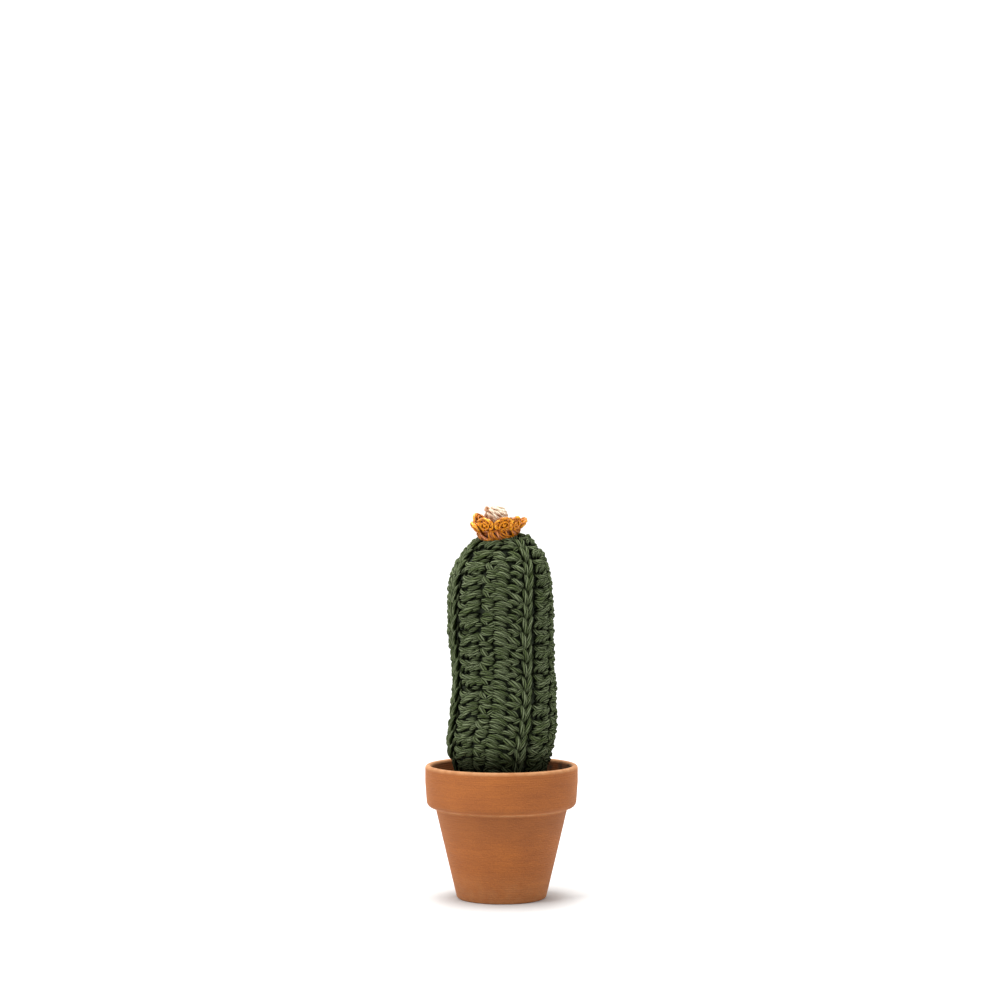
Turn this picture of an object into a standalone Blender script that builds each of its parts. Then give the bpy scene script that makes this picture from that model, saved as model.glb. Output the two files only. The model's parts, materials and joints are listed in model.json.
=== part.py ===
"""Crocheted cactus with a small flower, standing in a terracotta pot.

Metres, +Z up. The origin is the middle of the pot's underside and the front looks along -Y.
Angles round the cactus are counted from the front towards +X.
The cover is crocheted sideways, so its rows run up the cactus: four raised chains, with five
columns of single crochet between each two of them.
"""
import math

import bmesh
import bpy
from mathutils import Matrix, Vector

# Clearance between pieces that touch.
TOUCH_GAP = 0.0003

# Terracotta pot, 11 cm across its rim.
POT_RIM_RADIUS = 0.0550
POT_HEIGHT = 0.0957
POT_FOOT_RADIUS = 0.0325
POT_FOOT_ROUND = 0.0022
POT_NECK_RADIUS = 0.0474
POT_NECK_HEIGHT = 0.0652
POT_NECK_ROUND = 0.0012
POT_BAND_TAPER = 0.0010
POT_BAND_EDGE_ROUND = 0.0048
POT_LIP_ROUND = 0.0021
POT_LIP_THICKNESS = 0.0044
POT_WALL_AT_NECK = 0.0050
POT_WALL_AT_FOOT = 0.0056
POT_FLOOR_THICKNESS = 0.0065
POT_INNER_ROUND = 0.0030
POT_INNER_FLARE = 0.0006
POT_SHOULDER_HEIGHT = 0.0760
POT_SHOULDER_WIDTH = 0.0046
POT_SHOULDER_DROP = 0.0052
POT_DRAIN_RADIUS = 0.0060
POT_DRAIN_EDGE = 0.0006
POT_SEGMENTS = 48

# Stuffed cactus: its outline as (radius, height) of the stitches' crests, from the drawn-up
# hole at the bottom to the middle of the top.
BOTTOM_HOLE_RADIUS = 0.0025
BODY_OUTLINE = (
    (BOTTOM_HOLE_RADIUS, 0.0077),
    (0.0140, 0.0078),
    (0.0226, 0.0102),
    (0.0276, 0.0160),
    (0.0306, 0.0260),
    (0.0325, 0.0440),
    (0.0330, 0.0660),
    (0.0328, 0.0860),
    (0.0345, 0.0955),
    (0.0380, 0.1050),
    (0.0392, 0.1150),
    (0.0384, 0.1400),
    (0.0374, 0.1690),
    (0.0385, 0.1930),
    (0.0383, 0.2150),
    (0.0358, 0.2355),
    (0.0305, 0.2475),
    (0.0260, 0.2540),
    (0.0200, 0.2592),
    (0.0120, 0.2622),
    (0.0000, 0.2636),
)
# The stuffed body isn't quite straight: sideways shift of its middle at some heights.
BODY_SWAY = (
    (0.0400, 0.0000),
    (0.0930, -0.0005),
    (0.1060, -0.0010),
    (0.1310, 0.0012),
    (0.1500, 0.0022),
    (0.1710, 0.0009),
    (0.1930, -0.0006),
    (0.2200, -0.0008),
    (0.2500, -0.0002),
)
# The top slopes a little, up towards +X.
TOP_SLOPE = 0.080
TOP_SLOPE_START = 0.2300
TOP_SLOPE_FULL = 0.2580

# Crochet: pitch of the stitches up the body and round it.
STITCH_HEIGHT = 0.0104
COLUMN_WIDTH = 0.0098
CHAIN_ANGLES_DEG = (-61.0, 36.0, 124.0, 208.0)
CHAIN_LEVEL = 0.2250
TWIST_DEG_PER_M = 100.0
CHAIN_HEIGHT = 0.0009
CHAIN_LINK_DIP = 0.0010
CHAIN_SIDE_DIP = 0.0022
COLUMN_DIP = 0.0018
GAP_DIP = 0.0004
STITCH_DIP = 0.0030
STITCH_SLANT = 0.0012
SMOOTH_RADIUS = 0.0160
HIDDEN_BELOW = 0.0800

# The crocheted fabric's thickness, and the rings that its smooth inner side is made from.
FABRIC_THICKNESS = 0.0065
INNER_SIDES = 24
INNER_RINGS = 17
INNER_RING_EASE = 0.45

# The dome is the last share of the cover's outline: the flower's underside is shaped by it.
DOME_SHARE = 0.14
DOME_RINGS = 10

# Flower: a round base that follows the dome, with petals rising from its edge. It leans
# a little to the left and more to the front.
FLOWER_PLACE = (-0.0020, -0.0050, 0.2612)
FLOWER_LEAN_LEFT_DEG = 4.0
FLOWER_LEAN_FRONT_DEG = 10.0
FLOWER_BASE_RADIUS = 0.0140
FLOWER_BASE_TOP = 0.0048
FLOWER_BASE_BOTTOM = -0.0060
PETAL_COUNT = 8
PETAL_FIRST_DEG = -25.0
PETAL_ROOT_RADIUS = 0.0118
PETAL_ROOT_HEIGHT = 0.0044
PETAL_LENGTH = 0.0125
PETAL_WIDTH = 0.0130
PETAL_THICKNESS = 0.0028
PETAL_RISE_DEG = 50.0
PETAL_RISE_SPREAD_DEG = 5.0
LOOP_SIDES = 16
LOOP_THREAD = 0.0014
LOOP_THREAD_SIDES = 6
BUTTON_SHARE = 0.42
BUTTON_SIDES = 10
CENTRE_RADIUS = 0.0086
CENTRE_HEIGHT = 0.0160
CENTRE_RELIEF = 0.0007


def clear_scene():
    for obj in list(bpy.data.objects):
        bpy.data.objects.remove(obj, do_unlink=True)


def make_material(name, colour, roughness, metallic=0.0):
    material = bpy.data.materials.new(name)
    material.use_nodes = True
    shader = material.node_tree.nodes["Principled BSDF"]
    shader.inputs["Base Color"].default_value = (*colour, 1.0)
    shader.inputs["Roughness"].default_value = roughness
    shader.inputs["Metallic"].default_value = metallic
    material.diffuse_color = (*colour, 1.0)
    return material


def make_object(name, points, faces, material=None):
    mesh = bpy.data.meshes.new(name)
    mesh.from_pydata([tuple(point) for point in points], [], faces)
    mesh.validate()
    if material:
        mesh.materials.append(material)
    mesh.shade_smooth()
    obj = bpy.data.objects.new(name, mesh)
    bpy.context.scene.collection.objects.link(obj)
    return obj


def arc(centre, radius, start_deg, end_deg, steps):
    """Points on an arc in the (radius, height) plane; 0 degrees is outwards and 90 is up."""
    points = []
    for step in range(steps + 1):
        angle = math.radians(start_deg + (end_deg - start_deg) * step / steps)
        points.append((centre[0] + radius * math.cos(angle), centre[1] + radius * math.sin(angle)))
    return points


def pot_outline():
    """The pot's section, once round: underside, outer wall, band, lip, inner wall and drain."""
    foot = POT_FOOT_ROUND
    lip = POT_LIP_ROUND
    edge = POT_BAND_EDGE_ROUND
    wall_angle = math.degrees(math.atan2(POT_NECK_RADIUS - POT_FOOT_RADIUS, POT_NECK_HEIGHT))
    band_radius = POT_RIM_RADIUS - POT_BAND_TAPER
    inner_lip = POT_RIM_RADIUS - POT_LIP_THICKNESS
    inner_neck = POT_NECK_RADIUS - POT_WALL_AT_NECK
    inner_foot = POT_FOOT_RADIUS - POT_WALL_AT_FOOT
    floor = POT_FLOOR_THICKNESS
    neck = (POT_NECK_RADIUS + POT_NECK_ROUND, POT_NECK_HEIGHT - POT_NECK_ROUND)
    points = [(POT_DRAIN_RADIUS + POT_DRAIN_EDGE, 0.0)]
    points += arc((POT_FOOT_RADIUS - foot, foot), foot, -90.0, -wall_angle, 3)
    points += arc(neck, POT_NECK_ROUND, 180.0 - wall_angle, 105.0, 2)
    points += arc((band_radius - edge, POT_NECK_HEIGHT + edge), edge, -75.0, 0.0, 4)
    points += arc((POT_RIM_RADIUS - lip, POT_HEIGHT - lip), lip, 0.0, 90.0, 3)
    points += arc((inner_lip + lip, POT_HEIGHT - lip), lip, 90.0, 180.0, 3)[1:]
    points += [(inner_lip - POT_INNER_FLARE, POT_SHOULDER_HEIGHT)]
    points += [(inner_neck + POT_SHOULDER_WIDTH, POT_SHOULDER_HEIGHT - POT_SHOULDER_DROP)]
    points += [(inner_neck, POT_NECK_HEIGHT)]
    points += arc((inner_foot - foot, floor + POT_INNER_ROUND), POT_INNER_ROUND, 0.0, -90.0, 3)
    points += [(POT_DRAIN_RADIUS, floor)]
    points += [(POT_DRAIN_RADIUS, POT_DRAIN_EDGE)]
    return points


def make_pot():
    outline = pot_outline()
    count = len(outline)
    points = []
    faces = []
    for side in range(POT_SEGMENTS):
        angle = 2.0 * math.pi * side / POT_SEGMENTS
        for radius, height in outline:
            points.append((radius * math.cos(angle), radius * math.sin(angle), height))
        for index in range(count):
            below = side * count + index
            above = side * count + (index + 1) % count
            next_side = ((side + 1) % POT_SEGMENTS - side) * count
            faces.append((below, below + next_side, above + next_side, above))
    terracotta = make_material("terracotta", (0.50, 0.18, 0.07), 0.85)
    pot = make_object("pot", points, faces, terracotta)
    pot.data.set_sharp_from_angle(angle=math.radians(35.0))
    return pot


def smooth_curve(controls, steps):
    """A smooth curve through the control points, each given as (radius, height)."""
    first = (2.0 * controls[0][0] - controls[1][0], controls[1][1])
    last = (-controls[-2][0], controls[-2][1])
    knots = [Vector(point) for point in (first, *controls, last)]
    slopes = []
    for before, here, after in zip(knots, knots[1:], knots[2:]):
        step_in = (here - before).length
        step_out = (after - here).length
        slope_in = (here - before) / step_in
        slope_out = (after - here) / step_out
        slopes.append((slope_in * step_out + slope_out * step_in) / (step_in + step_out))
    curve = []
    for index in range(len(controls) - 1):
        start, end = knots[index + 1], knots[index + 2]
        span = (end - start).length
        for step in range(steps):
            t = step / steps
            point = start * (2 * t**3 - 3 * t**2 + 1) + end * (3 * t**2 - 2 * t**3)
            point += slopes[index] * span * (t**3 - 2 * t**2 + t)
            point += slopes[index + 1] * span * (t**3 - t**2)
            curve.append(point)
    curve.append(knots[-2])
    return curve


class BodyShape:
    """The cactus's surface: a place for each run along the outline and angle round it."""

    def __init__(self):
        self.curve = smooth_curve(BODY_OUTLINE, 12)
        self.runs = [0.0]
        for start, end in zip(self.curve, self.curve[1:]):
            self.runs.append(self.runs[-1] + (end - start).length)
        self.length = self.runs[-1]

    def section(self, run, depth):
        """Radius and height at a run along the outline, moved inwards by depth."""
        run = min(max(run, 0.0), self.length)
        index = 0
        while index < len(self.runs) - 2 and self.runs[index + 1] < run:
            index += 1
        start, end = self.curve[index], self.curve[index + 1]
        along = (end - start).normalized()
        point = start + along * (run - self.runs[index])
        after = self.curve[min(index + 2, len(self.curve) - 1)]
        before = self.curve[max(index - 1, 0)]
        along = (after - before).normalized()
        return point.x - along.y * depth, point.y + along.x * depth

    def place(self, run, angle, depth):
        """World position; depth is how far it lies inside the crests of the stitches."""
        radius, height = self.section(run, depth)
        return body_place(radius, height, angle)


def body_place(radius, height, angle):
    x = radius * math.sin(angle) + interpolate(BODY_SWAY, height)
    y = -radius * math.cos(angle)
    ramp = (height - TOP_SLOPE_START) / (TOP_SLOPE_FULL - TOP_SLOPE_START)
    slope = TOP_SLOPE * min(max(ramp, 0.0), 1.0)
    return x, y, height + slope * x


def interpolate(table, value):
    if value <= table[0][0]:
        return table[0][1]
    for (low, at_low), (high, at_high) in zip(table, table[1:]):
        if value <= high:
            t = (value - low) / (high - low)
            t = t * t * (3.0 - 2.0 * t)
            return at_low + (at_high - at_low) * t
    return table[-1][1]


def zip_rings(faces, lower, upper):
    """Joins two rings of any counts with triangles; each ring is a list of (angle, index)."""
    low_count, up_count = len(lower), len(upper)
    low, up = 0, 0
    turn = 2.0 * math.pi
    while low < low_count or up < up_count:
        next_low = lower[(low + 1) % low_count][0] + (turn if low + 1 >= low_count else 0.0)
        next_up = upper[(up + 1) % up_count][0] + (turn if up + 1 >= up_count else 0.0)
        here_low = lower[low % low_count][1]
        here_up = upper[up % up_count][1]
        if up >= up_count or (low < low_count and next_low <= next_up):
            faces.append((here_low, lower[(low + 1) % low_count][1], here_up))
            low += 1
        else:
            faces.append((here_low, upper[(up + 1) % up_count][1], here_up))
            up += 1


def column_angles(columns):
    """Middle of each column, counted from the front, with the chain first in each panel."""
    per_panel = columns // len(CHAIN_ANGLES_DEG)
    chains = list(CHAIN_ANGLES_DEG) + [CHAIN_ANGLES_DEG[0] + 360.0]
    angles = []
    for start, end in zip(chains, chains[1:]):
        for index in range(per_panel):
            angles.append(math.radians(start + (end - start) * index / per_panel))
    angles.append(angles[0] + 2.0 * math.pi)
    return angles


def stitch_depth(column, per_panel, part, row):
    """How far a point lies below the crests: part 0 is the groove beside the column."""
    is_chain = column % per_panel == 0
    beside_chain = (column - 1) % per_panel == 0
    in_gap = (row + column) % 2 == 0
    if part == 0:
        side = CHAIN_SIDE_DIP if is_chain or beside_chain else COLUMN_DIP
        return side + (GAP_DIP if in_gap else 0.0)
    if is_chain:
        return CHAIN_LINK_DIP - CHAIN_HEIGHT if row % 2 == 0 else -CHAIN_HEIGHT
    return STITCH_DIP if in_gap else 0.0


def crochet_ring(shape, points, run, row):
    """One ring of points of the cover's outer side, and its (angle, index) list."""
    radius, height = shape.section(run, 0.0)
    chains = len(CHAIN_ANGLES_DEG)
    per_panel = min(6, max(1, round(2.0 * math.pi * radius / COLUMN_WIDTH / chains)))
    angles = column_angles(per_panel * chains)
    twist = math.radians(TWIST_DEG_PER_M * (height - CHAIN_LEVEL))
    parts = 2 if height < HIDDEN_BELOW else 3
    fade = min(1.0, radius / SMOOTH_RADIUS)
    ring = []
    for column in range(per_panel * chains):
        before = angles[column - 1] if column else angles[-2] - 2.0 * math.pi
        here, after = angles[column], angles[column + 1]
        for part in range(parts):
            depth = stitch_depth(column, per_panel, part, row) * fade
            slant = 0.0
            if part == 0:
                angle = (before + here) / 2.0
            elif parts == 2:
                angle = here
            elif part == 1:
                angle = here + (before - here) / 5.0
                slant = STITCH_SLANT if column % 2 else -STITCH_SLANT
            else:
                angle = here + (after - here) / 5.0
                slant = -STITCH_SLANT if column % 2 else STITCH_SLANT
            place = shape.place(run + slant * fade, angle + twist, depth)
            ring.append((angle + twist, len(points)))
            points.append(place)
    return ring


def inner_ring(shape, points, run, depth):
    ring = []
    for side in range(INNER_SIDES):
        angle = 2.0 * math.pi * side / INNER_SIDES
        ring.append((angle, len(points)))
        points.append(shape.place(run, angle, depth))
    return ring


def inner_runs(shape):
    """Runs of the inner rings, closer together at the rounded bottom and top."""
    runs = []
    for index in range(INNER_RINGS):
        t = index / INNER_RINGS
        eased = t - INNER_RING_EASE * math.sin(4.0 * math.pi * t) / (4.0 * math.pi)
        runs.append(shape.length * eased)
    return runs


def close_ring(faces, points, ring, top):
    middle = len(points)
    points.append(top)
    for (_, here), (_, after) in zip(ring, ring[1:] + ring[:1]):
        faces.append((here, after, middle))


def make_cover(shape):
    points = []
    faces = []
    stitches = round(shape.length / STITCH_HEIGHT)
    half_stitch = shape.length / stitches / 2.0
    outer = []
    for row in range(stitches * 2 - 1):
        outer.append(crochet_ring(shape, points, row * half_stitch, row))
    for lower, upper in zip(outer, outer[1:]):
        zip_rings(faces, lower, upper)
    close_ring(faces, points, outer[-1], shape.place(shape.length, 0.0, 0.0))
    outside = len(faces)
    inner = []
    for run in inner_runs(shape):
        inner.append(inner_ring(shape, points, run, FABRIC_THICKNESS))
    for lower, upper in zip(inner, inner[1:]):
        zip_rings(faces, lower, upper)
    close_ring(faces, points, inner[-1], shape.place(shape.length, 0.0, FABRIC_THICKNESS))
    faces[outside:] = [tuple(reversed(face)) for face in faces[outside:]]
    hem = []
    zip_rings(hem, align_ring(inner[0], outer[0]), outer[0])
    faces += hem
    cotton = make_material("green_cotton", (0.055, 0.095, 0.035), 0.9)
    return make_object("cover", points, faces, cotton)


def align_ring(ring, other):
    """The same ring, started at the point that lies nearest to the other ring's first point."""
    turn = 2.0 * math.pi
    start = other[0][0]
    shifted = [(start + (angle - start) % turn, index) for angle, index in ring]
    return sorted(shifted)


def make_filling(shape):
    points = []
    faces = []
    depth = FABRIC_THICKNESS + TOUCH_GAP
    rings = [inner_ring(shape, points, run, depth) for run in inner_runs(shape)]
    for lower, upper in zip(rings, rings[1:]):
        zip_rings(faces, lower, upper)
    close_ring(faces, points, rings[-1], shape.place(shape.length, 0.0, depth))
    below = []
    _, floor = shape.section(0.0, depth)
    close_ring(below, points, rings[0], body_place(0.0, floor, 0.0))
    faces += [tuple(reversed(face)) for face in below]
    fibre = make_material("polyester_filling", (0.85, 0.85, 0.82), 0.95)
    return make_object("filling", points, faces, fibre)


def dome_cutter(shape):
    """Fills the dome up to just above the chains: what the flower's underside is cut with."""
    points = []
    faces = []
    lift = -(CHAIN_HEIGHT + TOUCH_GAP)
    start = shape.length * (1.0 - DOME_SHARE)
    rings = []
    for step in range(DOME_RINGS):
        run = start + (shape.length - start) * step / DOME_RINGS
        rings.append(inner_ring(shape, points, run, lift))
    for lower, upper in zip(rings, rings[1:]):
        zip_rings(faces, lower, upper)
    close_ring(faces, points, rings[-1], shape.place(shape.length, 0.0, lift))
    faces.append(tuple(reversed([index for _, index in rings[0]])))
    cutter = make_object("dome_cutter", points, faces)
    cutter.hide_render = True
    cutter.display_type = "WIRE"
    return cutter


def flower_frame():
    lean = Matrix.Rotation(math.radians(FLOWER_LEAN_FRONT_DEG), 4, "X")
    lean = Matrix.Rotation(math.radians(-FLOWER_LEAN_LEFT_DEG), 4, "Y") @ lean
    return Matrix.Translation(FLOWER_PLACE) @ lean


def petal_frame(angle):
    """From a petal's own frame (X along it, Y across, Z its upper face) to the flower's.

    Petals on the left stand up more than those on the right.
    """
    rise = math.radians(PETAL_RISE_DEG - PETAL_RISE_SPREAD_DEG * math.sin(angle))
    out = Matrix.Rotation(angle - math.pi / 2.0, 4, "Z")
    root = Matrix.Translation((PETAL_ROOT_RADIUS, 0.0, PETAL_ROOT_HEIGHT))
    return out @ root @ Matrix.Rotation(-rise, 4, "Y")


def thread_loop(share, sides):
    """A closed loop of thick thread, as large as the given share of a petal."""
    loop = bmesh.new()
    across = share * PETAL_WIDTH / 2.0 - LOOP_THREAD
    along = share * PETAL_LENGTH / 2.0 - LOOP_THREAD
    verts = []
    for side in range(sides):
        turn = 2.0 * math.pi * side / sides
        for thread_side in range(LOOP_THREAD_SIDES):
            around = 2.0 * math.pi * thread_side / LOOP_THREAD_SIDES
            out = LOOP_THREAD * math.cos(around)
            x = (along + out) * math.cos(turn) + PETAL_LENGTH / 2.0
            y = (across + out) * math.sin(turn)
            verts.append(loop.verts.new((x, y, LOOP_THREAD * math.sin(around))))
    for side in range(sides):
        here = side * LOOP_THREAD_SIDES
        after = (here + LOOP_THREAD_SIDES) % len(verts)
        for thread_side in range(LOOP_THREAD_SIDES):
            beside = (thread_side + 1) % LOOP_THREAD_SIDES
            corners = (here + thread_side, after + thread_side, after + beside, here + beside)
            loop.faces.new([verts[index] for index in corners])
    return loop


def petal_pad():
    """The close stitches that fill a petal, as a flat rounded pad with a button in it."""
    pad = bmesh.new()
    bmesh.ops.create_uvsphere(pad, u_segments=12, v_segments=6, radius=0.5)
    for vert in pad.verts:
        vert.co.x = (vert.co.x * 0.9 + 0.5) * PETAL_LENGTH
        vert.co.y *= PETAL_WIDTH * 0.9
        vert.co.z *= PETAL_THICKNESS
    return pad


def petal_button():
    button = bmesh.new()
    bmesh.ops.create_uvsphere(button, u_segments=BUTTON_SIDES, v_segments=6, radius=0.5)
    for vert in button.verts:
        vert.co.x = vert.co.x * BUTTON_SHARE * PETAL_LENGTH + PETAL_LENGTH / 2.0
        vert.co.y *= BUTTON_SHARE * PETAL_WIDTH
        vert.co.z *= PETAL_THICKNESS + LOOP_THREAD
    return button


def add_petal(name, frame, collection):
    add_part(name + "_pad", petal_pad(), frame, collection)
    add_part(name + "_button", petal_button(), frame, collection)
    add_part(name + "_loop", thread_loop(1.0, LOOP_SIDES), frame, collection)


def add_part(name, mesh_data, frame, collection):
    bmesh.ops.transform(mesh_data, matrix=frame, verts=mesh_data.verts)
    bmesh.ops.recalc_face_normals(mesh_data, faces=mesh_data.faces)
    mesh = bpy.data.meshes.new(name)
    mesh_data.to_mesh(mesh)
    mesh_data.free()
    obj = bpy.data.objects.new(name, mesh)
    collection.objects.link(obj)
    return obj


def make_flower_petals(shape):
    """A ring of petals fused to a round base, cut below to sit on the dome."""
    frame = flower_frame()
    parts = bpy.data.collections.new("petal_parts")
    bpy.context.scene.collection.children.link(parts)
    for index in range(PETAL_COUNT):
        angle = math.radians(PETAL_FIRST_DEG + 360.0 * index / PETAL_COUNT)
        add_petal("petal_%d" % index, frame @ petal_frame(angle), parts)
    base = bmesh.new()
    bmesh.ops.create_cone(
        base,
        cap_ends=True,
        segments=24,
        radius1=FLOWER_BASE_RADIUS,
        radius2=FLOWER_BASE_RADIUS,
        depth=FLOWER_BASE_TOP - FLOWER_BASE_BOTTOM,
    )
    middle = Matrix.Translation((0.0, 0.0, (FLOWER_BASE_TOP + FLOWER_BASE_BOTTOM) / 2.0))
    bmesh.ops.transform(base, matrix=middle, verts=base.verts)
    petals = add_part("flower_petals", base, frame, bpy.context.scene.collection)
    petals.data.materials.append(make_material("mustard_thread", (0.62, 0.27, 0.02), 0.45))
    petals.data.shade_smooth()
    join = petals.modifiers.new("join_petals", "BOOLEAN")
    join.operation = "UNION"
    join.operand_type = "COLLECTION"
    join.collection = parts
    join.solver = "EXACT"
    seat = petals.modifiers.new("seat_on_dome", "BOOLEAN")
    seat.operation = "DIFFERENCE"
    seat.object = dome_cutter(shape)
    seat.solver = "EXACT"
    apply_modifiers(petals)
    for obj in list(parts.objects):
        bpy.data.objects.remove(obj, do_unlink=True)
    bpy.data.collections.remove(parts)
    return petals


def apply_modifiers(obj):
    bpy.context.view_layer.update()
    graph = bpy.context.evaluated_depsgraph_get()
    mesh = bpy.data.meshes.new_from_object(obj.evaluated_get(graph))
    obj.modifiers.clear()
    obj.data = mesh


def make_flower_centre():
    """The pale bobble in the flower, with the swirl of its thread as low ridges."""
    frame = flower_frame()
    ball = bmesh.new()
    bmesh.ops.create_uvsphere(ball, u_segments=20, v_segments=12, radius=1.0)
    half_height = (CENTRE_HEIGHT - TOUCH_GAP) / 2.0
    for vert in ball.verts:
        turn = math.atan2(vert.co.y, vert.co.x)
        swirl = math.sin(5.0 * turn + 4.0 * vert.co.z) * math.hypot(vert.co.x, vert.co.y)
        grow = 1.0 + CENTRE_RELIEF * swirl / CENTRE_RADIUS
        vert.co.x *= CENTRE_RADIUS * grow
        vert.co.y *= CENTRE_RADIUS * grow
        vert.co.z = vert.co.z * half_height + FLOWER_BASE_TOP + TOUCH_GAP + half_height
    obj = add_part("flower_centre", ball, frame, bpy.context.scene.collection)
    obj.data.materials.append(make_material("cream_thread", (0.85, 0.70, 0.60), 0.7))
    obj.data.shade_smooth()
    return obj


clear_scene()
body_shape = BodyShape()
make_pot()
make_cover(body_shape)
make_filling(body_shape)
make_flower_petals(body_shape)
make_flower_centre()
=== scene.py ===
"""Crocheted cactus with a small flower, standing in a terracotta pot: the finished look.

Metres, +Z up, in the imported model's frame: the origin is the middle of the pot's underside and
the front looks along -Y. Angles round the cactus are counted from the front towards +X.
"""
import json
import math
import random

import bmesh
import bpy
import numpy as np
from mathutils import Matrix, Vector, noise

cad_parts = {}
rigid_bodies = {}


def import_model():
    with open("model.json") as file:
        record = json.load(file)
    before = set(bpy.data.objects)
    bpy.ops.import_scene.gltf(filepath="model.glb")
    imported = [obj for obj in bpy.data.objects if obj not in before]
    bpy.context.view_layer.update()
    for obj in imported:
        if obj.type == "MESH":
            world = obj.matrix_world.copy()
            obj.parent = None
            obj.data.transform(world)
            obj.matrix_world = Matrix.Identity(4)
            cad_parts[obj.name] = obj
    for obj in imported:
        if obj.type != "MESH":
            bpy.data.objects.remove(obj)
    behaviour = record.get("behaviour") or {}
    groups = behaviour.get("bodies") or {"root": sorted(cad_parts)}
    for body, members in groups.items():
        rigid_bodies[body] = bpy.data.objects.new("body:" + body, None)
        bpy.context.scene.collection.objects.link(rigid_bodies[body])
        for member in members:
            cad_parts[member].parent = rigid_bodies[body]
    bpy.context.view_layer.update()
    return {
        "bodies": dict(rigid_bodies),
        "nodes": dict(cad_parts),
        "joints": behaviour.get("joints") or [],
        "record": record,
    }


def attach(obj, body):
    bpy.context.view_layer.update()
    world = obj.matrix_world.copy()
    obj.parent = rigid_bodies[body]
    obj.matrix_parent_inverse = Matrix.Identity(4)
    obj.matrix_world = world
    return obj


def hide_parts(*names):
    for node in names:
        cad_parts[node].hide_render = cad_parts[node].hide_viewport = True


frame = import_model()

# Studio: a pale sweep that is both floor and background, as a paper roll hung behind a table
# and drawn forward under the pot. A soft light stands at the upper left, in front.
CAMERA_DISTANCE = 1.700
CAMERA_HEIGHT = 0.2863
CAMERA_SIDE = -0.0011
CAMERA_LENS_MM = 84.9
SWEEP_WIDTH = 7.0
SWEEP_FRONT = -3.5
SWEEP_BACK = 1.6
SWEEP_BEND_RADIUS = 1.2
SWEEP_TOP = 4.0


def srgb(code):
    """A hex colour such as "B46F3F", as the linear values that shaders take."""
    values = []
    for place in (0, 2, 4):
        part = int(code[place:place + 2], 16) / 255.0
        values.append(part / 12.92 if part <= 0.04045 else ((part + 0.055) / 1.055) ** 2.4)
    return (*values, 1.0)


def add_node(tree, kind, inputs=None, **settings):
    """Adds a node; inputs maps a socket's name or number to a value or to a socket to link."""
    node = tree.nodes.new(kind)
    for name, value in settings.items():
        setattr(node, name, value)
    for key, value in (inputs or {}).items():
        if isinstance(value, bpy.types.NodeSocket):
            tree.links.new(value, node.inputs[key])
        else:
            node.inputs[key].default_value = value
    return node


def start_material(name):
    """A new material, its node tree, and the shader that its other nodes link to."""
    material = bpy.data.materials.new(name)
    material.use_nodes = True
    return material, material.node_tree, material.node_tree.nodes["Principled BSDF"]


def mesh_object(name, points, faces, material):
    mesh = bpy.data.meshes.new(name)
    mesh.from_pydata([tuple(point) for point in points], [], faces)
    mesh.materials.append(material)
    mesh.shade_smooth()
    obj = bpy.data.objects.new(name, mesh)
    bpy.context.scene.collection.objects.link(obj)
    return obj


def paper_material():
    """Matt white background paper, rolled smooth: no grain shows at this distance."""
    material, tree, shader = start_material("white_background_paper")
    place = add_node(tree, "ShaderNodeTexCoord")
    grain = add_node(tree, "ShaderNodeTexNoise", {"Vector": place.outputs["Object"], "Scale": 900.0})
    bump = add_node(tree, "ShaderNodeBump", {"Height": grain.outputs["Fac"], "Distance": 0.00005})
    shader.inputs["Base Color"].default_value = srgb("D6D6D5")
    shader.inputs["Roughness"].default_value = 0.9
    tree.links.new(bump.outputs["Normal"], shader.inputs["Normal"])
    return material


sweep_line = [(SWEEP_FRONT, 0.0)]
for step in range(25):
    turn = math.radians(90.0 * step / 24)
    sweep_line.append((
        SWEEP_BACK + SWEEP_BEND_RADIUS * math.sin(turn),
        SWEEP_BEND_RADIUS * (1.0 - math.cos(turn)),
    ))
sweep_line.append((SWEEP_BACK + SWEEP_BEND_RADIUS, SWEEP_TOP))
sweep_points = []
for side in (-SWEEP_WIDTH / 2, SWEEP_WIDTH / 2):
    sweep_points += [(side, y, z) for y, z in sweep_line]
sweep_faces = []
for index in range(len(sweep_line) - 1):
    beside = index + len(sweep_line)
    sweep_faces.append((index, beside, beside + 1, index + 1))
paper_sweep = mesh_object("paper_sweep", sweep_points, sweep_faces, paper_material())

camera = bpy.data.objects.new("camera", bpy.data.cameras.new("camera"))
camera.data.lens = CAMERA_LENS_MM
camera.data.sensor_width = 36.0
camera.location = (CAMERA_SIDE, -CAMERA_DISTANCE, CAMERA_HEIGHT)
camera.rotation_euler = (math.radians(90.0), 0.0, 0.0)
bpy.context.scene.collection.objects.link(camera)
bpy.context.scene.camera = camera

world = bpy.data.worlds.new("studio_room")
world.use_nodes = True
room = world.node_tree.nodes["Background"]
room.inputs["Color"].default_value = (1.0, 1.0, 1.0, 1.0)
room.inputs["Strength"].default_value = 0.62
bpy.context.scene.world = world
bpy.context.scene.view_settings.view_transform = "Standard"


def soft_light(name, place, target, size, power):
    light = bpy.data.objects.new(name, bpy.data.lights.new(name, "AREA"))
    light.data.shape = "DISK"
    light.data.size = size
    light.data.energy = power
    light.location = place
    light.rotation_euler = (Vector(target) - Vector(place)).to_track_quat("-Z", "Y").to_euler()
    bpy.context.scene.collection.objects.link(light)


soft_light("key_light", (-1.8, -1.2, 1.2), (0.0, 0.0, 0.13), 1.0, 25.0)
soft_light("fill_light", (1.6, -1.1, 0.9), (0.0, 0.0, 0.10), 1.2, 6.0)
soft_light("top_light", (-0.15, -0.15, 2.2), (0.0, 0.0, 0.1), 1.5, 52.0)
soft_light("background_light", (0.0, 0.9, 2.6), (0.0, 2.8, 0.5), 1.5, 60.0)

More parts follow.
